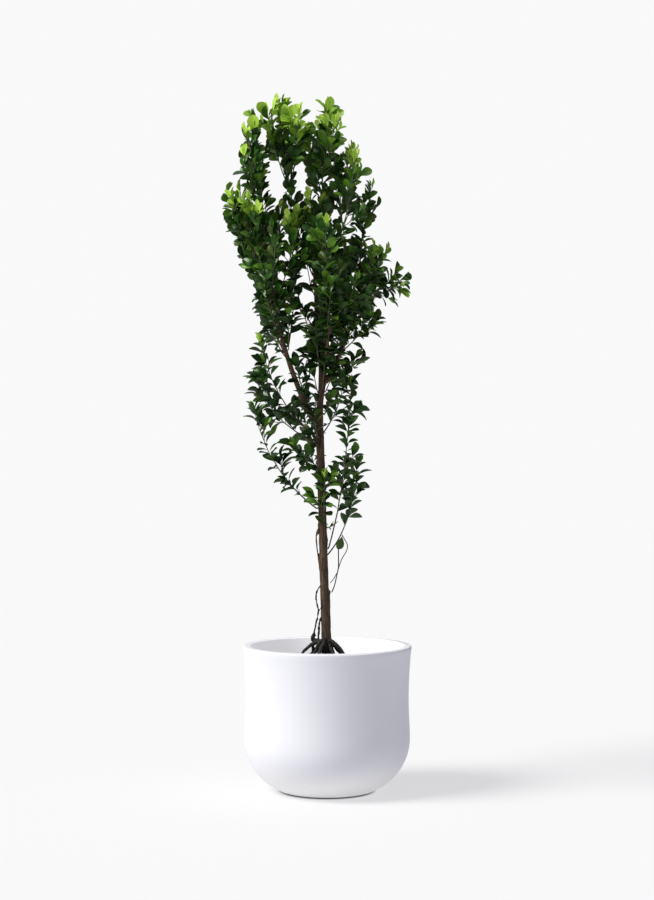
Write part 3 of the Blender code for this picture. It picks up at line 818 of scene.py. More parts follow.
def root_path(index, chance):
    """One surface root: it arches from the stem's foot down into the soil."""
    angle = math.tau * (index + 0.15) / ROOT_COUNT
    outward = Vector((math.cos(angle), math.sin(angle), 0.0))
    spread = ROOT_SPREAD * chance.uniform(0.75, 1.15)
    shoulder = ROOT_SHOULDER + chance.uniform(-0.008, 0.006)
    start = trunk_axis(shoulder) + outward * 0.003
    knee = trunk_axis(shoulder - 0.020) + outward * spread * 0.50
    end = outward * spread + Vector((ROOT_SHIFT, 0.0, SOIL_TOP - 0.006))
    points = []
    for step in range(6):
        share = step / 5
        rest = 1 - share
        points.append(start * rest * rest + knee * 2 * rest * share + end * share * share)
    return finer(points, even_radii(6, ROOT_RADIUS * 1.15, ROOT_RADIUS * 0.75), ROOT_STEP)


root_chance = random.Random(11)
root_paths = [root_path(index, root_chance) for index in range(ROOT_COUNT)]
print("surface roots:", len(root_paths))

# %% Aerial roots and knots
# Thin roots that hang in the air: their points, and the radius at each.
AERIAL_ROOTS = (
    (
        ((-0.011, -0.004, 0.464), (-0.0225, -0.006, 0.445), (-0.0245, -0.006, 0.428),
         (-0.0195, -0.006, 0.402), (-0.0262, -0.008, 0.365), (-0.0305, -0.009, 0.333),
         (-0.0330, -0.010, 0.266)),
        (0.0018, 0.0018, 0.0018, 0.0018, 0.0021, 0.0027, 0.0030),
    ),
    (
        ((-0.006, -0.003, 0.398), (-0.0165, -0.005, 0.376), (-0.0190, -0.005, 0.345),
         (-0.0200, -0.006, 0.266)),
        (0.0019, 0.0024, 0.0024, 0.0028),
    ),
    (
        ((-0.010, -0.005, 0.428), (-0.0125, -0.007, 0.412), (-0.0185, -0.006, 0.401)),
        (0.0012, 0.0012, 0.0012),
    ),
)
# Thicker roots on the soil: the radius at both ends, and their points.
KNOTS = (
    (0.0048, 0.0048, ((-0.029, -0.007, 0.350), (-0.032, -0.009, 0.339), (-0.018, -0.008, 0.334),
                      (-0.004, -0.009, 0.336))),
    (0.0056, 0.0022, ((-0.006, -0.010, 0.336), (-0.026, -0.014, 0.332), (-0.042, -0.018, 0.322),
                      (-0.056, -0.020, 0.306), (-0.066, -0.021, 0.268))),
    (0.0046, 0.0024, ((0.004, -0.008, 0.338), (0.020, -0.014, 0.328), (0.036, -0.018, 0.309),
                      (0.048, -0.020, 0.268))),
    (0.0048, 0.0030, ((-0.006, -0.008, 0.338), (-0.020, -0.020, 0.326), (-0.030, -0.026, 0.300),
                      (-0.032, -0.028, 0.268))),
)
for points, radii in AERIAL_ROOTS:
    root_paths.append(finer([Vector(point) for point in points], radii, ROOT_STEP))
for first, last, points in KNOTS:
    radii = even_radii(len(points), first, last)
    root_paths.append(finer([Vector(point) for point in points], radii, ROOT_STEP))
print("with the aerial roots and the knots:", len(root_paths))

# %% Fusing the roots
ROOT_VOXEL = 0.0010
ROOT_LUMP = 0.0017
ROOT_GRAIN = 0.0006


def root_depth(point):
    return ROOT_LUMP * noise.noise(point * 150) + ROOT_GRAIN * noise.noise(point * 600)


root_mesh = fused("surface_roots", root_paths, ROOT_VOXEL)
carve(root_mesh, root_depth)
root_finish = Finish("washed_roots", (0.014, 0.012, 0.011), 0.8)
root_grain = root_finish.noise(root_finish.place(), 380.0, 4.0)
root_finish.paint(
    root_finish.mix(root_finish.between(root_grain, 0.45, 0.75), (0.008, 0.007, 0.007), (0.045, 0.036, 0.030))
)
root_finish.bump(root_grain, 0.0008, 0.8)
piece_from_mesh("surface_roots", root_mesh, [root_finish], ["trunk"])

# %% [markdown]
# ## Leafy shoots
# Each mass of foliage is one long shoot with a few forks and side twigs. The tables say
# where a shoot leaves its bough and how far it reaches. The main shoots, forks and longer
# side twigs repeat the rule of the solids, and shorter twigs fill in between.

# %% The shoots' table
SHOOT_RADIUS = 0.0021
SHOOT_TIP_RADIUS = 0.0009
STEM_SHORT = 0.018  # what the last leaves add to a stem
RING_SPACING = 0.045
FORK_THIN, FORK_BARE = 0.75, 0.02  # a share of the shoot's radius, and the bare length
TWIG_THIN, TWIG_BARE = 0.6, 0.012
TWIG_RISE = 0.25
GOLDEN_ANGLE = math.radians(137.5)
# Bows: how far out and how far up the bend of the curve lies, as shares of the way.
STRAIGHT = (0.60, 0.48)
ARCHED = (0.80, 0.35)
LOW_ARCH = (0.80, 0.42)
HOOKED = (0.92, 0.30)

# A mass: its limb and the height there, the furthest point of its foliage, its bow, and
# the bare length of stem before its first leaf.
MASSES = (
    ("left_spike", "left_bough", TIP, (-0.163, -0.060, 1.490), STRAIGHT, 0.012),
    ("left_flank", "left_bough", 1.125, (-0.196, -0.020, 1.364), ARCHED, 0.020),
    ("left_low_flank", "left_bough", 1.070, (-0.204, 0.040, 1.292), LOW_ARCH, 0.030),
    ("left_inner", "left_bough", 1.100, (-0.106, 0.020, 1.329), ARCHED, 0.020),
    ("left_back", "left_bough", 1.042, (-0.178, 0.110, 1.330), ARCHED, 0.045),
    ("left_mid", "left_bough", 0.990, (-0.067, -0.030, 1.311), HOOKED, 0.035),
    ("left_front", "left_bough", 1.010, (-0.141, -0.130, 1.170), ARCHED, 0.030),
    ("left_far_back", "left_bough", 1.015, (-0.168, 0.150, 1.245), LOW_ARCH, 0.080),
    ("left_back_low", "left_bough", 0.965, (-0.160, 0.125, 1.124), STRAIGHT, 0.060),
    ("low_left_out", "trunk", 0.793, (-0.151, -0.060, 1.020), ARCHED, 0.045),
    ("low_left", "trunk", 0.778, (-0.167, 0.080, 0.940), ARCHED, 0.050),
    ("lowest_left", "trunk", 0.632, (-0.167, -0.030, 0.875), ARCHED, 0.050),
    ("low_left_inner", "trunk", 0.695, (-0.056, 0.100, 0.895), ARCHED, 0.040),
    ("low_left_front", "trunk", 0.713, (-0.077, -0.090, 0.784), LOW_ARCH, 0.030),
    ("trunk_front", "trunk", 0.603, (-0.005, -0.060, 0.727), HOOKED, 0.025),
    ("low_right_long", "trunk", 0.542, (0.055, -0.050, 0.937), ARCHED, 0.090),
    ("low_right_out", "trunk", 0.527, (0.071, 0.090, 0.755), HOOKED, 0.060),
    ("centre_skirt", "trunk", 0.935, (-0.025, -0.075, 1.044), LOW_ARCH, 0.020),
    ("right_low", "trunk", 0.802, (0.041, 0.070, 0.940), ARCHED, 0.030),
    ("right_low_back", "trunk", 0.885, (0.070, 0.075, 0.989), LOW_ARCH, 0.040),
    ("right_skirt", "right_bough", 0.985, (0.097, -0.030, 1.078), LOW_ARCH, 0.025),
    ("right_inner", "right_bough", 1.010, (0.039, -0.070, 1.110), HOOKED, 0.025),
    ("right_far", "right_bough", 1.098, (0.163, -0.010, 1.172), LOW_ARCH, 0.020),
    ("right_side", "right_bough", 1.070, (0.121, 0.050, 1.231), ARCHED, 0.025),
    ("right_upper_out", "right_bough", 1.105, (0.106, -0.050, 1.233), ARCHED, 0.020),
    ("right_spike", "right_bough", TIP, (0.085, 0.020, 1.352), STRAIGHT, 0.012),
    ("right_back", "right_bough", 1.040, (0.094, 0.130, 1.197), ARCHED, 0.040),
    ("right_front", "front_bough", 1.030, (0.067, -0.120, 1.149), LOW_ARCH, 0.025),
    ("centre_front", "front_bough", TIP, (-0.005, -0.140, 1.270), STRAIGHT, 0.012),
    ("centre_low_front", "front_bough", 1.000, (0.008, -0.140, 1.138), HOOKED, 0.030),
    ("centre_back", "back_bough", TIP, (-0.005, 0.100, 1.336), STRAIGHT, 0.012),
    ("back_mid", "back_bough", 1.075, (0.011, 0.160, 1.263), ARCHED, 0.020),
    ("back_right", "back_bough", 1.040, (0.053, 0.130, 1.224), ARCHED, 0.025),
    ("back_low", "back_bough", 0.905, (0.014, 0.165, 1.005), LOW_ARCH, 0.025),
    ("upper_right", "trunk", 1.120, (0.063, -0.070, 1.426), ARCHED, 0.030),
    ("top_left", "trunk", 1.154, (-0.105, 0.060, 1.568), ARCHED, 0.030),
    ("top_right", "trunk", TIP, (0.006, -0.040, 1.544), STRAIGHT, 0.012),
)

# A fork: its mass, where on the main stem it leaves and the furthest point it reaches.
FORKS = (
    ("upper_right", 0.50, (0.029, 0.075, 1.408)),
    ("top_left", 0.52, (-0.136, -0.020, 1.541)),
    ("top_left", 0.52, (-0.060, -0.065, 1.528)),
    ("top_right", 0.45, (-0.044, 0.095, 1.514)),
    ("left_spike", 0.45, (-0.186, -0.105, 1.425)),
)
print("masses of foliage:", len(MASSES))


# %% A shoot
class Shoot:
    """A leafy stem: points along it, its radii, its bare length and its age at the tip."""

    def __init__(self, points, radii, bare, age=0.0, leaf_share=1.0):
        self.leaf_share = leaf_share
        self.points = points
        self.radii = radii
        self.bare = bare
        self.age = age
        self.lengths = [0.0]
        for low, high in zip(points, points[1:]):
            self.lengths.append(self.lengths[-1] + (high - low).length)

    def at_length(self, length):
        """The axis point, direction and radius at a length along the stem."""
        for index in range(1, len(self.points)):
            if length <= self.lengths[index] or index == len(self.points) - 1:
                low, high = self.points[index - 1], self.points[index]
                share = (length - self.lengths[index - 1]) / (high - low).length
                radius = self.radii[index - 1] * (1 - share) + self.radii[index] * share
                return low.lerp(high, share), (high - low).normalized(), radius
        raise ValueError("the stem has no length")


# %% Main shoots, forks and side twigs
def shoot_path(start, reach, shape):
    """The stem's points: they stop short of the reach, which the last leaf makes up."""
    length = (reach - start).length
    last = max(1.0 - STEM_SHORT / length, 0.35)
    rings = max(3, round(length / RING_SPACING))
    return [bow(start, reach, shape, last * index / rings) for index in range(rings + 1)]


def main_shoot(limb, height, reach, shape, bare):
    reach = Vector(reach)
    foot, collar = leave(limb, height, reach, SHOOT_RADIUS)
    points = [foot] + shoot_path(collar, reach, shape)
    return Shoot(points, even_radii(len(points), SHOOT_RADIUS, SHOOT_TIP_RADIUS), bare)


def fork_shoot(main, share, reach):
    start = main.at_length(main.lengths[-1] * share)[0]
    points = shoot_path(start, Vector(reach), LOW_ARCH)
    return Shoot(points, even_radii(len(points), SHOOT_RADIUS * FORK_THIN, SHOOT_TIP_RADIUS), FORK_BARE)


def side_twig(parent, length, turn, size, angle):
    """A short twig that leaves a stem at an angle and bends up."""
    start, heading, _ = parent.at_length(length)
    outward = Quaternion(heading, turn) @ across(heading)
    tilt = outward * math.sin(angle) + heading * math.cos(angle)
    end = start + tilt * size + Vector((0.0, 0.0, TWIG_RISE * size))
    points = [bow(start, end, LOW_ARCH, share * 0.55) for share in (0.0, 0.5, 1.0)]
    age = max(parent.age + parent.lengths[-1] - length - size * 0.5, 0.0)
    return Shoot(points, even_radii(3, SHOOT_RADIUS * TWIG_THIN, SHOOT_TIP_RADIUS), TWIG_BARE, age)


# %% [markdown]
# ## Room between the shoots
# A real shoot only puts out twigs where there is light and room. The space keeper holds
# marks along every stem. A twig is tried in the spiral that the shoot grows in, and is
# left out where another shoot or a bough is too close.

# %% Space keeper
MARK_STEP = 0.008
LIMB_MARGIN = 0.01


class Spaces:
    """Marks along all stems, to tell how much room a point has."""

    def __init__(self, limbs):
        self.limbs = limbs
        self.marks = {}

    def add(self, mass, shoot):
        found = []
        for low, high in zip(shoot.points, shoot.points[1:]):
            count = max(1, math.ceil((high - low).length / MARK_STEP))
            found.extend(low.lerp(high, step / count) for step in range(count))
        found.append(shoot.points[-1])
        old = self.marks.get(mass)
        fresh = np.array(found)
        self.marks[mass] = fresh if old is None else np.concatenate((old, fresh))

    def distance(self, mass, point):
        return float(np.sqrt(((self.marks[mass] - np.array(point)) ** 2).sum(axis=1).min()))

    def distance_to_others(self, mass, point):
        return min(self.distance(other, point) for other in self.marks if other != mass)

    def nearest(self, point):
        """The mass whose stems are closest to a point."""
        return min(self.marks, key=lambda mass: self.distance(mass, point))

    def clear_of_limbs(self, point, margin):
        return all(limb.clearance(point) > margin for limb in self.limbs)

    def roomy(self, mass, twig, room):
        return not in_opening(twig.points[-1]) and all(
            self.distance_to_others(mass, point) > room and self.clear_of_limbs(point, LIMB_MARGIN)
            for point in twig.points[1:]
        )


# %% [markdown]
# ## Openings for the sky
# What makes the crown airy is the sky between its shoots, and where it draws in. Both are
# kept as plain ellipses in the plane of the stem. A twig is left out when its tip is seen
# inside one, and a leaf when its middle or tip is, so that the openings get leafy edges
# and stay open from the front.

# %% Openings
# The place across and the height of each, half its width and half its height.
OPENINGS = (
    (-0.1416, 1.462, 0.006, 0.032), (-0.112, 1.371, 0.018, 0.042), (-0.0575, 1.386, 0.012, 0.028),
    (0.044, 1.283, 0.013, 0.020), (0.074, 1.345, 0.012, 0.014), (0.020, 1.290, 0.010, 0.012),
    (-0.059, 1.250, 0.009, 0.014), (-0.088, 1.235, 0.009, 0.011), (-0.092, 1.194, 0.020, 0.013),
    (-0.101, 1.150, 0.013, 0.014), (-0.041, 1.155, 0.015, 0.026), (-0.045, 1.108, 0.022, 0.018),
    (-0.043, 1.055, 0.018, 0.012), (-0.067, 1.015, 0.012, 0.019), (-0.075, 1.075, 0.010, 0.010),
    (-0.128, 0.985, 0.007, 0.020), (-0.0945, 0.885, 0.020, 0.024), (-0.024, 0.925, 0.0085, 0.036),
    (-0.0945, 0.812, 0.020, 0.018), (-0.0105, 0.900, 0.010, 0.046), (0.031, 0.868, 0.007, 0.018),
    (0.001, 0.917, 0.006, 0.018), (0.022, 0.838, 0.010, 0.015),
    (-0.056, 0.775, 0.010, 0.016), (0.021, 0.774, 0.012, 0.028), (0.025, 0.645, 0.009, 0.045),
    (0.055, 0.580, 0.045, 0.030),
)
# Where the outline draws in: the same, at the left side and at the right side.
DRAWN_IN = (
    (-0.235, 1.440, 0.045, 0.060), (-0.245, 1.385, 0.032, 0.030), (-0.262, 1.335, 0.030, 0.030),
    (-0.245, 1.215, 0.032, 0.035),
    (-0.225, 1.125, 0.068, 0.052), (-0.175, 1.055, 0.022, 0.050), (-0.205, 0.865, 0.022, 0.030),
    (-0.190, 0.800, 0.044, 0.040), (-0.180, 0.715, 0.058, 0.056), (-0.128, 0.655, 0.055, 0.028),
    (0.085, 1.530, 0.045, 0.040), (0.118, 1.455, 0.048, 0.040), (0.112, 1.405, 0.030, 0.025),
    (0.135, 1.345, 0.032, 0.030), (0.145, 1.318, 0.028, 0.022),
    (0.108, 0.915, 0.036, 0.062), (0.100, 0.630, 0.038, 0.045),
)


def seen_at(point):
    """Where the camera sees a point in the plane of the stem."""
    share = CAMERA_DISTANCE / (CAMERA_DISTANCE + point.y)
    return point.x * share, CAMERA_HEIGHT + (point.z - CAMERA_HEIGHT) * share


def in_opening(point, areas=OPENINGS + DRAWN_IN):
    across_view, up_view = seen_at(point)
    for middle, height, half_width, half_height in areas:
        off = ((across_view - middle) / half_width) ** 2 + ((up_view - height) / half_height) ** 2
        if off < 1.0:
            return True
    return False


print("openings:", len(OPENINGS), "and places where the outline draws in:", len(DRAWN_IN))

# %% [markdown]
# ## Growing the stems
# The stems grow in the order of their weight: main shoots, forks, side twigs, then the
# finer ones that the solids leave out. Each one that is set marks its place, so the next
# ones fill what room is left. All the chances come from seeded generators, and the plant
# is the same at each run.

# %% Main shoots, forks and coarse twigs
TWIG_STEP = 0.085
TWIG_LENGTH = 0.062
TWIG_ANGLE = math.radians(42)
TWIG_ROOM = 0.020

spaces = Spaces(list(limbs.values()))
stems = {}
for name, limb, height, reach, shape, bare in MASSES:
    stems[name] = [main_shoot(limbs[limb], height, reach, shape, bare)]
    spaces.add(name, stems[name][0])
for name, share, reach in FORKS:
    fork = fork_shoot(stems[name][0], share, reach)
    stems[name].append(fork)
    spaces.add(name, fork)
mains = {name: len(shoots) for name, shoots in stems.items()}

twig_chance = random.Random(11)
for name, shoots in stems.items():
    for shoot in list(shoots):
        length = shoot.bare + 0.5 * TWIG_STEP
        turn = twig_chance.uniform(0, 2 * math.pi)
        while length < shoot.lengths[-1] - 0.03:
            twig = side_twig(shoot, length, turn, TWIG_LENGTH, TWIG_ANGLE)
            if spaces.roomy(name, twig, TWIG_ROOM):
                shoots.append(twig)
                spaces.add(name, twig)
            length += TWIG_STEP
            turn += GOLDEN_ANGLE
coarse_count = sum(len(shoots) for shoots in stems.values())
print("main shoots and forks:", sum(mains.values()))
print("coarse twigs:", coarse_count - sum(mains.values()))

# %% Finer forks
# Forks that the solids leave out, in the same form.
FINE_FORKS = (
    ("top_right", 0.55, (0.026, 0.010, 1.516)),
    ("top_right", 0.60, (0.020, -0.080, 1.502)),
    ("top_right", 0.50, (-0.018, 0.050, 1.518)),
    ("top_left", 0.62, (-0.086, 0.010, 1.534)),
    ("top_left", 0.66, (-0.070, 0.100, 1.518)),
    ("left_spike", 0.50, (-0.150, -0.020, 1.440)),
    ("left_spike", 0.60, (-0.174, -0.080, 1.474)),
    ("left_spike", 0.50, (-0.180, -0.020, 1.430)),
    ("left_flank", 0.55, (-0.212, -0.060, 1.340)),
    ("left_flank", 0.40, (-0.226, -0.030, 1.372)),
    ("left_flank", 0.45, (-0.170, -0.075, 1.330)),
    ("upper_right", 0.62, (0.046, 0.010, 1.440)),
    ("upper_right", 0.50, (0.066, -0.010, 1.395)),
    ("right_spike", 0.60, (0.100, 0.010, 1.374)),
    ("right_far", 0.50, (0.168, -0.045, 1.128)),
    ("right_far", 0.35, (0.150, 0.030, 1.100)),
    ("right_skirt", 0.45, (0.112, -0.050, 1.050)),
    ("left_spike", 0.35, (-0.146, -0.085, 1.385)),
    ("left_flank", 0.30, (-0.150, -0.085, 1.310)),
    ("left_front", 0.50, (-0.112, -0.140, 1.225)),
    ("left_mid", 0.50, (-0.086, -0.070, 1.290)),
    ("top_right", 0.10, (-0.038, -0.010, 1.352)),
    ("top_left", 0.60, (-0.110, -0.015, 1.559)),
)
for name, share, reach in FINE_FORKS:
    fork = fork_shoot(stems[name][0], share, reach)
    stems[name].insert(mains[name], fork)
    mains[name] += 1
    spaces.add(name, fork)
print("finer forks:", len(FINE_FORKS))

# %% Inner shoots
# Shoots that fill the middle of the crown: their limb, the heights they leave it between,
# how many are tried, the side they lean to in degrees (0 is +X, -90 the front), how far
# they may turn from it, and their length.
INNER_SHOOTS = (
    ("trunk", 0.935, 1.010, 8, -95, 50, 0.09),
    ("trunk", 0.885, 1.165, 26, -35, 75, 0.13),
    ("trunk", 0.885, 1.165, 16, 95, 60, 0.13),
    ("right_bough", 0.965, 1.110, 16, -60, 110, 0.12),
    ("left_bough", 1.020, 1.165, 12, -90, 60, 0.11),
    ("left_bough", 1.000, 1.165, 8, 110, 60, 0.11),
    ("left_bough", 0.895, 1.010, 9, -110, 40, 0.085),
    ("left_bough", 0.895, 1.010, 7, 180, 30, 0.085),
    ("left_bough", 0.885, 1.010, 7, 60, 70, 0.10),
    ("left_bough", 0.845, 0.905, 6, -50, 60, 0.075),
    ("left_bough", 0.838, 0.885, 5, -100, 60, 0.055),
    ("left_bough", 0.960, 1.030, 6, -170, 40, 0.070),
    ("trunk", 0.850, 0.930, 7, -110, 50, 0.075),
    ("trunk", 0.775, 0.845, 5, -130, 35, 0.060),
    ("trunk", 0.830, 0.895, 5, -30, 40, 0.060),
    ("right_bough", 0.925, 1.000, 9, -95, 45, 0.085),
    ("right_bough", 0.930, 1.040, 12, -60, 40, 0.055),
    ("front_bough", 0.990, 1.060, 8, -60, 100, 0.12),
    ("back_bough", 0.940, 1.100, 10, 60, 100, 0.12),
)
INNER_ROOM = 0.013
INNER_LEAN = 0.45
INNER_AGE = 0.06
inner_chance = random.Random(41)
inner_counts = []
for limb, low, high, count, side, swing, reach in INNER_SHOOTS:
    inner_counts.append(0)
    for index in range(count):
        height = low + (high - low) * (index + inner_chance.random()) / count
        angle = math.radians(side + inner_chance.uniform(-swing, swing))
        travel = Vector((math.cos(angle) * INNER_LEAN, math.sin(angle) * INNER_LEAN, 1.0))
        target = limbs[limb].at_height(height)[0] + travel * reach * inner_chance.uniform(0.75, 1.2)
        shoot = main_shoot(limbs[limb], height, target, ARCHED, TWIG_BARE)
        shoot.age = INNER_AGE
        tests = [shoot.at_length(shoot.lengths[-1] * share)[0] for share in (0.4, 0.7, 1.0)]
        mass = spaces.nearest(tests[-1])
        if in_opening(tests[-1]):
            continue
        if all(spaces.distance_to_others("", point) > INNER_ROOM for point in tests):
            stems[mass].append(shoot)
            spaces.add(mass, shoot)
            inner_counts[-1] += 1
print("inner shoots of each row:", inner_counts)

# %% Two sprigs
# Tiny sprigs with a few small pale leaves: one low on the stem, one high on the right.
SPRIG_LEAVES = 0.42
low_sprig = main_shoot(limbs["trunk"], 0.588, Vector((0.032, -0.024, 0.616)), ARCHED, 0.004)
high_sprig = fork_shoot(stems["upper_right"][0], 0.72, Vector((0.069, -0.035, 1.452)))
for name, sprig in (("trunk_front", low_sprig), ("upper_right", high_sprig)):
    sprig.leaf_share = SPRIG_LEAVES
    stems[name].append(sprig)
    print("a sprig from", [round(value, 3) for value in sprig.points[0]])

# %% Finer twigs between them
FINE_LENGTHS = (0.034, 0.060)
FINE_STEP = 0.040
FINE_ROOM = 0.012
fine_chance = random.Random(23)
for name, shoots in stems.items():
    for shoot in shoots[:mains[name]]:
        length = shoot.bare + 0.2 * TWIG_STEP
        turn = fine_chance.uniform(0, 2 * math.pi)
        while length < shoot.lengths[-1] - 0.02:
            size = fine_chance.uniform(*FINE_LENGTHS)
            twig = side_twig(shoot, length, turn, size, TWIG_ANGLE * fine_chance.uniform(0.5, 1.0))
            if spaces.roomy(name, twig, FINE_ROOM):
                shoots.append(twig)
                spaces.add(name, twig)
            length += FINE_STEP * fine_chance.uniform(0.8, 1.2)
            turn += GOLDEN_ANGLE
print("stems:", coarse_count, "as in the solids,", sum(map(len, stems.values())), "with the finer ones")

# %% [markdown]
# ## One leaf
# The leaves are leathery and spoon-shaped: widest past the middle, with a blunt tip, a
# short stalk and a midrib along a shallow fold. Their blades arch backwards. A grid of
# seven by three faces is drawn in to that outline, given a thin wall, folded and bent.
# A narrow middle strip gets the colour of the midrib, and the underside a paler one.

# %% Leaf outline
# Along the leaf as a share of its length, and half its width there as a share of the most.
BLUNT = (
    (0.00, 0.060), (0.09, 0.085), (0.25, 0.46), (0.46, 0.86),
    (0.68, 1.00), (0.85, 0.78), (0.955, 0.38), (1.00, 0.09),
)
POINTED = (
    (0.00, 0.070), (0.09, 0.100), (0.22, 0.46), (0.40, 0.87),
    (0.58, 1.00), (0.78, 0.76), (0.93, 0.32), (1.00, 0.06),
)
LEAF_COLUMNS = (-1.0, -0.045, 0.045, 1.0)
LEAF_SKIN = 0.016
UPPER, MIDRIB, UNDER = 0, 1, 2  # the order of a leaf's finishes


def bent(along, wide, lift, bend):
    """A point of the flat blade, moved onto the arch that the bend gives it."""
    turn = bend * along
    return Vector((
        math.sin(turn) / bend + lift * math.sin(turn),
        wide,
        (math.cos(turn) - 1) / bend + lift * math.cos(turn),
    ))


def leaf_stock(profile, half_width, fold, bend):
    """A leaf of length 1 along X whose face looks to +Z."""
    built = bmesh.new()
    rows = len(profile) - 1
    columns = len(LEAF_COLUMNS) - 1
    bmesh.ops.create_grid(built, x_segments=rows, y_segments=columns, size=0.5)
    for vertex in built.verts:
        row = round((vertex.co.x + 0.5) * rows)
        column = round((vertex.co.y + 0.5) * columns)
        along, share = profile[row]
        vertex.co = Vector((along, LEAF_COLUMNS[column] * share * half_width, 0.0))
    for face in built.faces:
        face.material_index = MIDRIB if abs(face.calc_center_median().y) < 0.004 else UPPER
    bmesh.ops.solidify(built, geom=built.faces[:], thickness=LEAF_SKIN)
    bmesh.ops.recalc_face_normals(built, faces=built.faces)
    built.normal_update()
    for face in built.faces:
        if face.normal.z < 0.5:
            face.material_index = UNDER
    for vertex in built.verts:
        along, wide, lift = vertex.co
        lift += fold * abs(wide) * min(1.0, along * 4)
        vertex.co = bent(along, wide, lift, bend)
    return Stock(built)


# %% Kinds of leaf
LEAF_KINDS = {  # the outline, half the width, the fold and the bend, for a length of 1
    "round": (BLUNT, 0.340, 0.28, 0.30),
    "broad": (BLUNT, 0.295, 0.30, 0.38),
    "spoon": (BLUNT, 0.250, 0.38, 0.50),
    "slim": (POINTED, 0.230, 0.44, 0.62),
    "young": (POINTED, 0.270, 0.60, 0.25),
}
leaf_stocks = {kind: leaf_stock(*shape) for kind, shape in LEAF_KINDS.items()}
print("faces of one leaf:", len(leaf_stocks["broad"].faces))

# %% [markdown]
# ## Setting the leaves
# Leaves stand in a spiral, a golden angle apart, close together. Low on a shoot they
# spread wide, near its tip they hug it. Each faces along the shoot and a little upwards,
# to the light. A leaf that would cut through another leaf, a stem or a bough swings aside
# or closes up, and is left out if that doesn't help.

# %% A quick copy of a blade to test for room
LEAF_MIDDLE = Vector((0.55, 0.0, 0.0))
TEST_FOLD = 0.7
TEST_ROWS = (0.22, 0.50, 0.78, 0.99)
TEST_HALF_WIDTHS = (0.42, 0.88, 0.92, 0.30)
TEST_FACES = [(row * 2, row * 2 + 1, row * 2 + 3, row * 2 + 2) for row in range(3)]
CELL = 0.05


def test_points(kind, matrix):
    _, half_width, fold, bend = LEAF_KINDS[kind]
    points = []
    for along, share in zip(TEST_ROWS, TEST_HALF_WIDTHS):
        lift = fold * share * half_width * TEST_FOLD
        for side in (-1.0, 1.0):
            points.append(matrix @ bent(along, side * share * half_width, lift, bend))
    return points


# %% The crowd of blades
class Crowd:
    """The blades set so far, by the cell of space they lie in."""

    def __init__(self):
        self.cells = {}

    def cell(self, point):
        return tuple(math.floor(value / CELL) for value in point)

    def near(self, point):
        middle = self.cell(point)
        for x in (-1, 0, 1):
            for y in (-1, 0, 1):
                for z in (-1, 0, 1):
                    yield from self.cells.get((middle[0] + x, middle[1] + y, middle[2] + z), ())

    def free(self, shape, middle):
        return not any(shape.overlap(other) for other in self.near(middle))

    def add(self, shape, middle):
        self.cells.setdefault(self.cell(middle), []).append(shape)


# %% [markdown]
# New growth is a bright yellow-green. It is long on the shoots at the top of the crown
# and short or missing elsewhere. Below it the leaves darken with age and with the shade
# they stand in, which is painted into their tints, and low on the plant they are slimmer.
# So a leaf's look is dealt out by its distance from the shoot's tip, its height and chance.

# %% Which tint and size a leaf has
FRESH = {  # the length of the new growth along a shoot
    "top_left": 0.075, "top_right": 0.070, "left_spike": 0.018, "upper_right": 0.040,
    "left_flank": 0.052, "left_mid": 0.050, "right_upper_out": 0.024, "trunk_front": 0.014,
    "centre_front": 0.022, "left_inner": 0.026, "right_far": 0.006, "right_spike": 0.016,
    "right_side": 0.024, "low_left_out": 0.004, "back_mid": 0.040, "left_back": 0.040,
    "right_back": 0.035,
}
BIG_TOPS = ("top_left", "top_right", "left_spike")
OLD_LEAF = 0.010  # the new growth of all other shoots
MID_ZONE = 0.06  # how far below the new growth the mid tint is common
MID_SHARES = {"left_spike": 0.12}
MID_SHARE = 0.40  # of the leaves there on all other shoots
TOP_KINDS = ("round", "broad", "broad", "spoon", "spoon")
CROWN_KINDS = ("broad", "broad", "spoon", "spoon", "spoon", "spoon", "round")
LEAF_LENGTH = 0.0320
# The tint of new growth by its lot, which rises with age.
FRESH_STEPS = ((0.6, "newest"), (1.2, "young"), (2.1, "fresh"), (math.inf, "mid"))
# The tint of other leaves by their lot, and how much earlier each limit comes low down.
OLDER_STEPS = ((0.13, 0.08, "mid"), (0.55, 0.35, "full"), (1.00, 0.50, "deep"), (math.inf, 0.0, "shade"))
FULL_SHARE = 0.6  # the others of the full tint turn olive
# Low on the plant the tints darken: partly age, partly painted shade.
DARKER_BELOW, DARKER_OVER = 1.22, 0.30  # the height where it begins, and the fall to the full effect
SLIMMER_BELOW, SLIMMER_OVER = 1.26, 0.28


def leaf_look(mass, age, height, chance):
    """The tint, the kind of blade and its length."""
    fresh = FRESH.get(mass, OLD_LEAF)
    lot = chance.random()
    lowness = clamped((DARKER_BELOW - height) / DARKER_OVER)
    slimness = clamped((SLIMMER_BELOW - height) / SLIMMER_OVER)
    if age < min(fresh * 0.35, 0.012):
        bright = ("newest", "young") if mass in FRESH else ("mid", "fresh")
        return bright[0] if lot < 0.6 else bright[1], "young", LEAF_LENGTH * chance.uniform(0.50, 0.80)
    if age < fresh and mass in FRESH:
        lot += 1.9 * age / fresh
        tint = next(name for limit, name in FRESH_STEPS if lot < limit)
        if chance.random() < 0.15:
            tint = "full"
        size = chance.uniform(0.70, 1.20) if mass in BIG_TOPS else chance.uniform(0.65, 0.95)
        return tint, chance.choice(TOP_KINDS), LEAF_LENGTH * size
    if chance.random() < 0.08 + 0.77 * slimness:
        kind = "slim"
        length = LEAF_LENGTH * chance.uniform(0.85, 1.28)
    else:
        kind = CROWN_KINDS[chance.randrange(7)]
        length = LEAF_LENGTH * chance.uniform(0.80, 1.08)
    if age < fresh + MID_ZONE and lot < MID_SHARES.get(mass, MID_SHARE) and mass in FRESH:
        return "mid", kind, length
    # Lower leaves fall into darker tints: painted shade, as well as age.
    tint = next(name for limit, fall, name in OLDER_STEPS if lot < limit - fall * lowness)
    if tint == "full" and chance.random() >= FULL_SHARE:
        tint = "olive"
    return tint, kind, length


print("shoots with new growth:", len(FRESH))


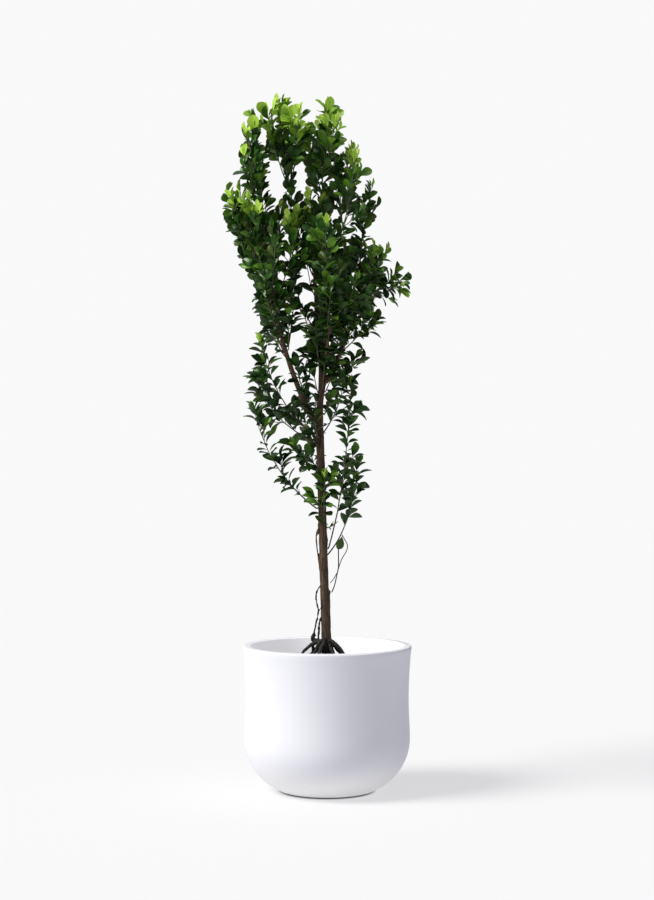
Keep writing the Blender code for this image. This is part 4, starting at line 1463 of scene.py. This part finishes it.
# %% One leaf on its stem
CROWN_START = 1.00
CROWN_RISE = 0.24


def leaf_matrix(root, growth, face, length):
    side = face.cross(growth)
    turn = Matrix((growth, side, face)).transposed().to_4x4()
    return Matrix.Translation(root) @ turn @ Matrix.Diagonal((length, length, length, 1.0))


def inside_reach(points):
    return all(
        low + 0.0005 < value < high - 0.0005
        for point in points
        for value, low, high in zip(point, cad_low, cad_high)
    )


def highness(height):
    """0 low on the plant, 1 in the crown."""
    return clamped((height - CROWN_START) / CROWN_RISE)


# %% Trying a leaf
CROWN_AXIS = -0.03
LOW_SHOW, CROWN_SHOW = 0.12, 0.8  # how far the blades turn their faces out of the crown
STRAY_SHARE = 0.4  # of the leaves, whose tips may stand out where the outline draws in
LEAF_ROLL = 0.9
LIMB_ROOM = 0.004
UPWARDS = Vector((0.0, 0.0, 0.4))


def place_leaf(crowd, stem, turn, spread, kind, length, chance):
    """Tries a leaf at its own place, then closer to the stem; gives its matrix or None."""
    stem_point, heading, stem_radius = stem
    side = across(heading)
    roll = chance.uniform(-LEAF_ROLL, LEAF_ROLL)
    tip_areas = OPENINGS if chance.random() < STRAY_SHARE else OPENINGS + DRAWN_IN
    away = Vector((stem_point.x - CROWN_AXIS, stem_point.y, 0.0))
    away = away.normalized() * (LOW_SHOW + (CROWN_SHOW - LOW_SHOW) * highness(stem_point.z))
    for narrower in (1.0, 0.75, 0.5):
        for swing in (0.0, 0.5, -0.5):
            outward = Quaternion(heading, turn + swing) @ side
            angle = spread * narrower
            growth = (outward * math.sin(angle) + heading * math.cos(angle)).normalized()
            light = heading * 0.6 + UPWARDS + away
            face = (light - growth * light.dot(growth)).normalized()
            face = Quaternion(growth, roll) @ face
            root = stem_point + outward * stem_radius * 0.4
            matrix = leaf_matrix(root, growth, face, length)
            points = test_points(kind, matrix)
            middle = matrix @ LEAF_MIDDLE
            if not inside_reach(points) or not spaces.clear_of_limbs(middle, LIMB_ROOM):
                continue
            if in_opening(middle) or in_opening(points[-1], tip_areas):
                continue
            shape = BVHTree.FromPolygons(points, TEST_FACES)
            if crowd.free(shape, middle):
                crowd.add(shape, middle)
                return matrix
    return None


# %% Leaves that stand out
# A few large leaves catch the eye. They are set first, and the others make room: the
# shoot and how far below its tip the leaf stands, its tint and blade, the way it grows,
# the way it faces, and its length.
KEY_LEAVES = (
    ("left_spike", 0, 0.012, "young", "round", (-0.10, -0.25, 1.00), (-0.30, -0.95, 0.10), 0.042),
    ("left_spike", 0, 0.022, "fresh", "round", (-0.60, -0.50, 0.35), (-0.10, -0.80, 0.60), 0.034),
    ("left_spike", 1, 0.042, "deep", "broad", (-1.00, -0.15, 0.05), (0.00, -0.50, 0.85), 0.034),
    ("top_left", 1, 0.016, "young", "round", (-0.55, -0.35, 0.75), (0.10, -1.00, 0.20), 0.038),
)


def set_one(tints, tint, kind, root, growth, face, length):
    """Adds one leaf with a place of its own, and gives its matrix."""
    growth = Vector(growth).normalized()
    face = Vector(face)
    face = (face - growth * face.dot(growth)).normalized()
    matrix = leaf_matrix(root, growth, face, length)
    tints.setdefault(tint, []).append((leaf_stocks[kind], matrix))
    return matrix


crowd = Crowd()
leaf_sets = {}
for name, index, back, tint, kind, growth, face, length in KEY_LEAVES:
    shoot = stems[name][index]
    root = shoot.at_length(shoot.lengths[-1] - back)[0]
    placed = set_one(leaf_sets, tint, kind, root, growth, face, length)
    outline = test_points(kind, placed)
    crowd.add(BVHTree.FromPolygons(outline, TEST_FACES), placed @ LEAF_MIDDLE)
    print(name, "leaf tip at", [round(value, 3) for value in outline[-1]])

# %% All the leaves
LEAF_STEP = 0.0060
TIP_STEP = 0.0049


def set_leaves(tints, crowd, chance):
    """Adds (stock, matrix) for every leaf to the list of its tint."""
    skipped = 0
    for mass, shoots in stems.items():
        for shoot in shoots:
            total = shoot.lengths[-1]
            length = shoot.bare
            turn = chance.uniform(0, math.tau)
            while length < total + 0.001:
                left = total - length
                share = length / total
                closing = min(left / 0.03, 1.0)
                stem = shoot.at_length(min(length, total))
                widest = 62 - 13 * highness(stem[0].z) - 12 * share
                spread = math.radians(widest * (0.45 + 0.55 * closing) + chance.uniform(-8, 8))
                tint, kind, size = leaf_look(mass, (shoot.age + left) * shoot.leaf_share, stem[0].z, chance)
                matrix = place_leaf(crowd, stem, turn, spread, kind, size * shoot.leaf_share, chance)
                if matrix is None:
                    skipped += 1
                else:
                    tints.setdefault(tint, []).append((leaf_stocks[kind], matrix))
                step = (LEAF_STEP * closing + TIP_STEP * (1 - closing)) * shoot.leaf_share
                length += step * chance.uniform(0.85, 1.15)
                turn += GOLDEN_ANGLE
            for _ in range(2):
                turn += math.pi * 0.8
                tint, kind, size = leaf_look(mass, shoot.age, shoot.points[-1].z, chance)
                spread = math.radians(chance.uniform(8, 22))
                size *= shoot.leaf_share
                matrix = place_leaf(crowd, shoot.at_length(total), turn, spread, kind, size, chance)
                if matrix is not None:
                    tints.setdefault(tint, []).append((leaf_stocks[kind], matrix))
    print("leaves left out for want of room:", skipped)


set_leaves(leaf_sets, crowd, random.Random(31))

# One leaf low on the right has flopped over and hangs by its stalk, another crosses the
# stem: the tint, the blade, its foot, the way it grows, the way it faces, and its length.
SINGLE_LEAVES = (
    ("olive", "broad", (0.0340, -0.005, 0.5700), (-0.22, -0.10, -0.97), (0.35, -0.93, 0.0), 0.032),
    ("olive", "slim", (-0.0027, -0.0112, 0.5960), (-0.68, -0.28, 0.68), (0.10, -0.90, 0.40), 0.031),
)
for tint, kind, root, growth, face, length in SINGLE_LEAVES:
    set_one(leaf_sets, tint, kind, Vector(root), growth, face, length)
print("leaves:", {tint: len(copies) for tint, copies in leaf_sets.items()})

# %% [markdown]
# ## Leaf colours
# The blades are leathery, with a soft gloss. One plain colour each for the blade, the
# midrib and the underside is enough for one spray, and eight tints are dealt out along
# the shoots: dark blue-green low in the crown, bright yellow-green on new growth.

# %% Leaf finishes and pieces
LEAF_TINTS = {  # the blade's colour, linear, and its roughness
    "shade": ((0.005, 0.028, 0.003), 0.32),
    "deep": ((0.0095, 0.046, 0.004), 0.32),
    "olive": ((0.036, 0.062, 0.005), 0.36),
    "full": ((0.026, 0.098, 0.006), 0.34),
    "mid": ((0.073, 0.184, 0.011), 0.34),
    "fresh": ((0.186, 0.352, 0.024), 0.34),
    "young": ((0.352, 0.580, 0.050), 0.36),
    "newest": ((0.520, 0.745, 0.120), 0.40),
}
MIDRIB_COLOUR, MIDRIB_SHARE = (0.30, 0.42, 0.14), 0.13
UNDER_COLOUR, UNDER_SHARE = (0.20, 0.30, 0.10), 0.07
LEAF_GLOSS = 0.42
LEAF_SHEEN_TINT = (0.78, 1.0, 0.62, 1.0)


def towards(colour, other, share):
    return tuple(first + (second - first) * share for first, second in zip(colour, other))


for tint, (blade, roughness) in LEAF_TINTS.items():
    finishes = [
        Finish(tint + "_blade", blade, roughness),
        Finish(tint + "_midrib", towards(blade, MIDRIB_COLOUR, MIDRIB_SHARE), roughness),
        Finish(tint + "_underside", towards(blade, UNDER_COLOUR, UNDER_SHARE), 0.6),
    ]
    for finish in finishes:
        finish.gloss(LEAF_GLOSS)
        finish.shader.inputs["Specular Tint"].default_value = LEAF_SHEEN_TINT
    name = "leaves_" + tint
    leaf_piece = piece_from_mesh(name, joined(name, leaf_sets[tint]), finishes, list(stems))
    leaf_piece.data.set_sharp_from_angle(angle=math.radians(60))

# %% [markdown]
# ## Twigs
# The shoots are brown where they leave the boughs and green towards their tips, so each
# path is cut in two at two fifths of its length. Each path strays a little from its curve,
# because a real stem turns slightly at every leaf.

# %% Twig paths
WOODY_SHARE = 0.4
STRAY = 0.0012
THIN_MAIN, THIN_TWIG = 0.85, 0.8
TWIG_SINK = 0.002  # how far a main shoot's foot goes into its bough


def wobbled(points, chance):
    """A path that strays a little from its curve, as stems do between two leaves."""
    drift = Vector((chance.uniform(0, 50), chance.uniform(0, 50), 0.0))
    moved = []
    for index, point in enumerate(points):
        share = index / (len(points) - 1)
        stray = noise.noise_vector(drift + point * 30) * STRAY
        moved.append(point + stray * math.sin(math.pi * share))
    return moved


noise.seed_set(7)  # noise_vector would start from the clock
wobble_chance = random.Random(7)
woody_paths = []
green_paths = []
for name, shoots in stems.items():
    for index, shoot in enumerate(shoots):
        thin = THIN_MAIN if index < mains[name] else THIN_TWIG
        points, radii = finer(shoot.points, [radius * thin for radius in shoot.radii], 0.010)
        points = wobbled(points, wobble_chance)
        if index >= mains[name]:
            green_paths.append((points, radii))
            continue
        points[0] = points[0] + (points[0] - points[1]).normalized() * TWIG_SINK
        cut = max(2, round(len(points) * WOODY_SHARE))
        woody_paths.append((points[:cut], radii[:cut]))
        green_paths.append((points[cut - 1:], radii[cut - 1:]))
print("woody and green lengths of stem:", len(woody_paths), len(green_paths))

# %% [markdown]
# Low on the right a few whiskers hang from the stem: dry roots as thin as thread, and one
# leaf that has flopped over on its long stalk. A dead stub is left on the lowest shoot.

# %% Whiskers and stubs
WHISKERS = (  # the radius and the points
    (0.0010, ((0.0334, -0.004, 0.5723), (0.0397, -0.004, 0.5613), (0.0459, -0.004, 0.5486),
              (0.0428, -0.004, 0.5344), (0.0334, -0.004, 0.5187), (0.0271, -0.004, 0.5015),
              (0.0224, -0.004, 0.4842))),
    (0.0013, ((0.0255, -0.006, 0.5402), (0.0257, -0.006, 0.5199), (0.0255, -0.006, 0.4999),
              (0.0224, -0.006, 0.4842), (0.0166, -0.005, 0.4585), (0.0105, -0.003, 0.4435))),
    (0.0009, ((0.0215, -0.004, 0.4860), (0.0150, -0.004, 0.4740), (0.0070, -0.003, 0.4640))),
)
for radius, points in WHISKERS:
    smooth = finer([Vector(point) for point in points], [radius] * len(points), 0.006)
    woody_paths.append(smooth)
dead_foot = stems["lowest_left"][0].at_length(0.026)[0]
woody_paths.append((
    [dead_foot, dead_foot + Vector((-0.006, -0.002, 0.001)), dead_foot + Vector((-0.0105, -0.003, 0.0005))],
    [0.0013, 0.0013, 0.0019],
))
print("whiskers:", len(WHISKERS))

# %% Twig finishes and pieces
twig_brown = Finish("brown_twig", (0.085, 0.058, 0.038), 0.75)
twig_green = Finish("green_twig", (0.120, 0.130, 0.062), 0.6)
twig_noise = twig_brown.noise(twig_brown.place(), 240.0, 3.0)
twig_brown.paint(
    twig_brown.mix(twig_brown.between(twig_noise, 0.35, 0.7), (0.020, 0.012, 0.008), (0.085, 0.060, 0.038))
)
piece_from_mesh("woody_twigs", tube_mesh("woody_twigs", woody_paths, 2), [twig_brown], list(stems))
piece_from_mesh("green_twigs", tube_mesh("green_twigs", green_paths, 1), [twig_green], list(stems))

# %% [markdown]
# ## Light
# A pale studio: light from everywhere, and one large soft lamp from the left and the
# front, high up. A sun lamp with a wide angle acts like such a softbox and lights the
# whole floor evenly, so the floor melts into the wall behind it.

# %% Lamps and surrounding light
def soft_lamp(name, power, softness, colour, turn, rise):
    """A sun lamp: its turn is in degrees to the left of the front, its rise above the floor."""
    data = bpy.data.lights.new(name, "SUN")
    data.energy = power
    data.angle = math.radians(softness)
    data.color = colour
    turn, rise = math.radians(turn), math.radians(rise)
    ahead = Vector((-math.sin(turn) * math.cos(rise), -math.cos(turn) * math.cos(rise), math.sin(rise)))
    lamp = bpy.data.objects.new(name, data)
    lamp.rotation_euler = ahead.to_track_quat("Z", "Y").to_euler()
    scene.collection.objects.link(lamp)
    print(name, "shines from", [round(value, 2) for value in ahead])


AROUND = (0.145, 0.150, 0.205)
soft_lamp("side_softbox", 3.65, 28.0, (1.0, 0.99, 0.925), 70.0, 45.0)
soft_lamp("top_softbox", 0.85, 60.0, (1.0, 0.985, 0.90), 30.0, 86.0)

world = bpy.data.worlds.new("studio")
scene.world = world
world.use_nodes = True
world.node_tree.nodes["Background"].inputs["Color"].default_value = (*AROUND, 1.0)
scene.view_settings.view_transform = "Standard"

# %% [markdown]
# The floor takes the pot's shadow and has a faint glow of its own, which keeps the shadow
# soft and pale. The glow stops under the foot of the pot, so that a thin painted contact
# shadow is left where the pot stands. The wall is a shell that gives the plant no light:
# only the camera sees it, and it has the tone of the lit floor.

# %% Floor and wall
FLOOR_WHITE = (0.324, 0.3245, 0.3335)
FLOOR_SHINE = (0.998, 0.998, 1.006)
FLOOR_GLOW = 0.55
POT_CONTACT_SHADOW = (0.097, 0.114)  # the glow starts outside the foot of the pot
WALL_WHITE = 0.950
STUDIO_RADIUS = 14.0

floor_mesh = bmesh.new()
bmesh.ops.create_circle(floor_mesh, cap_ends=True, segments=96, radius=STUDIO_RADIUS)
floor = bpy.data.objects.new("floor", mesh_from("floor", floor_mesh))
floor_finish = Finish("floor_white", FLOOR_WHITE, 0.9)
# Painted contact shadow: no glow under the pot's foot, fading in over a thin ring.
glow_past_contact_shadow = floor_finish.between(floor_finish.distance(), *POT_CONTACT_SHADOW)
floor_finish.glow(floor_finish.mix(glow_past_contact_shadow, BLACK, FLOOR_SHINE), FLOOR_GLOW)

wall_mesh = bmesh.new()
bmesh.ops.create_uvsphere(wall_mesh, u_segments=64, v_segments=32, radius=STUDIO_RADIUS)
wall = bpy.data.objects.new("wall", mesh_from("wall", wall_mesh))
wall_finish = Finish("wall_glow", BLACK, 1.0)
wall_finish.glow((WALL_WHITE, WALL_WHITE, WALL_WHITE * 1.008, 1.0), 1.0)
for kind_of_ray in ("diffuse", "glossy", "transmission", "shadow", "volume_scatter"):
    setattr(wall, "visible_" + kind_of_ray, False)

for stage_piece, finish in ((floor, floor_finish), (wall, wall_finish)):
    finish.gloss(0.0)
    stage_piece.data.materials.append(finish.material)
    scene.collection.objects.link(stage_piece)
print("the floor and the wall reach", STUDIO_RADIUS, "metres")
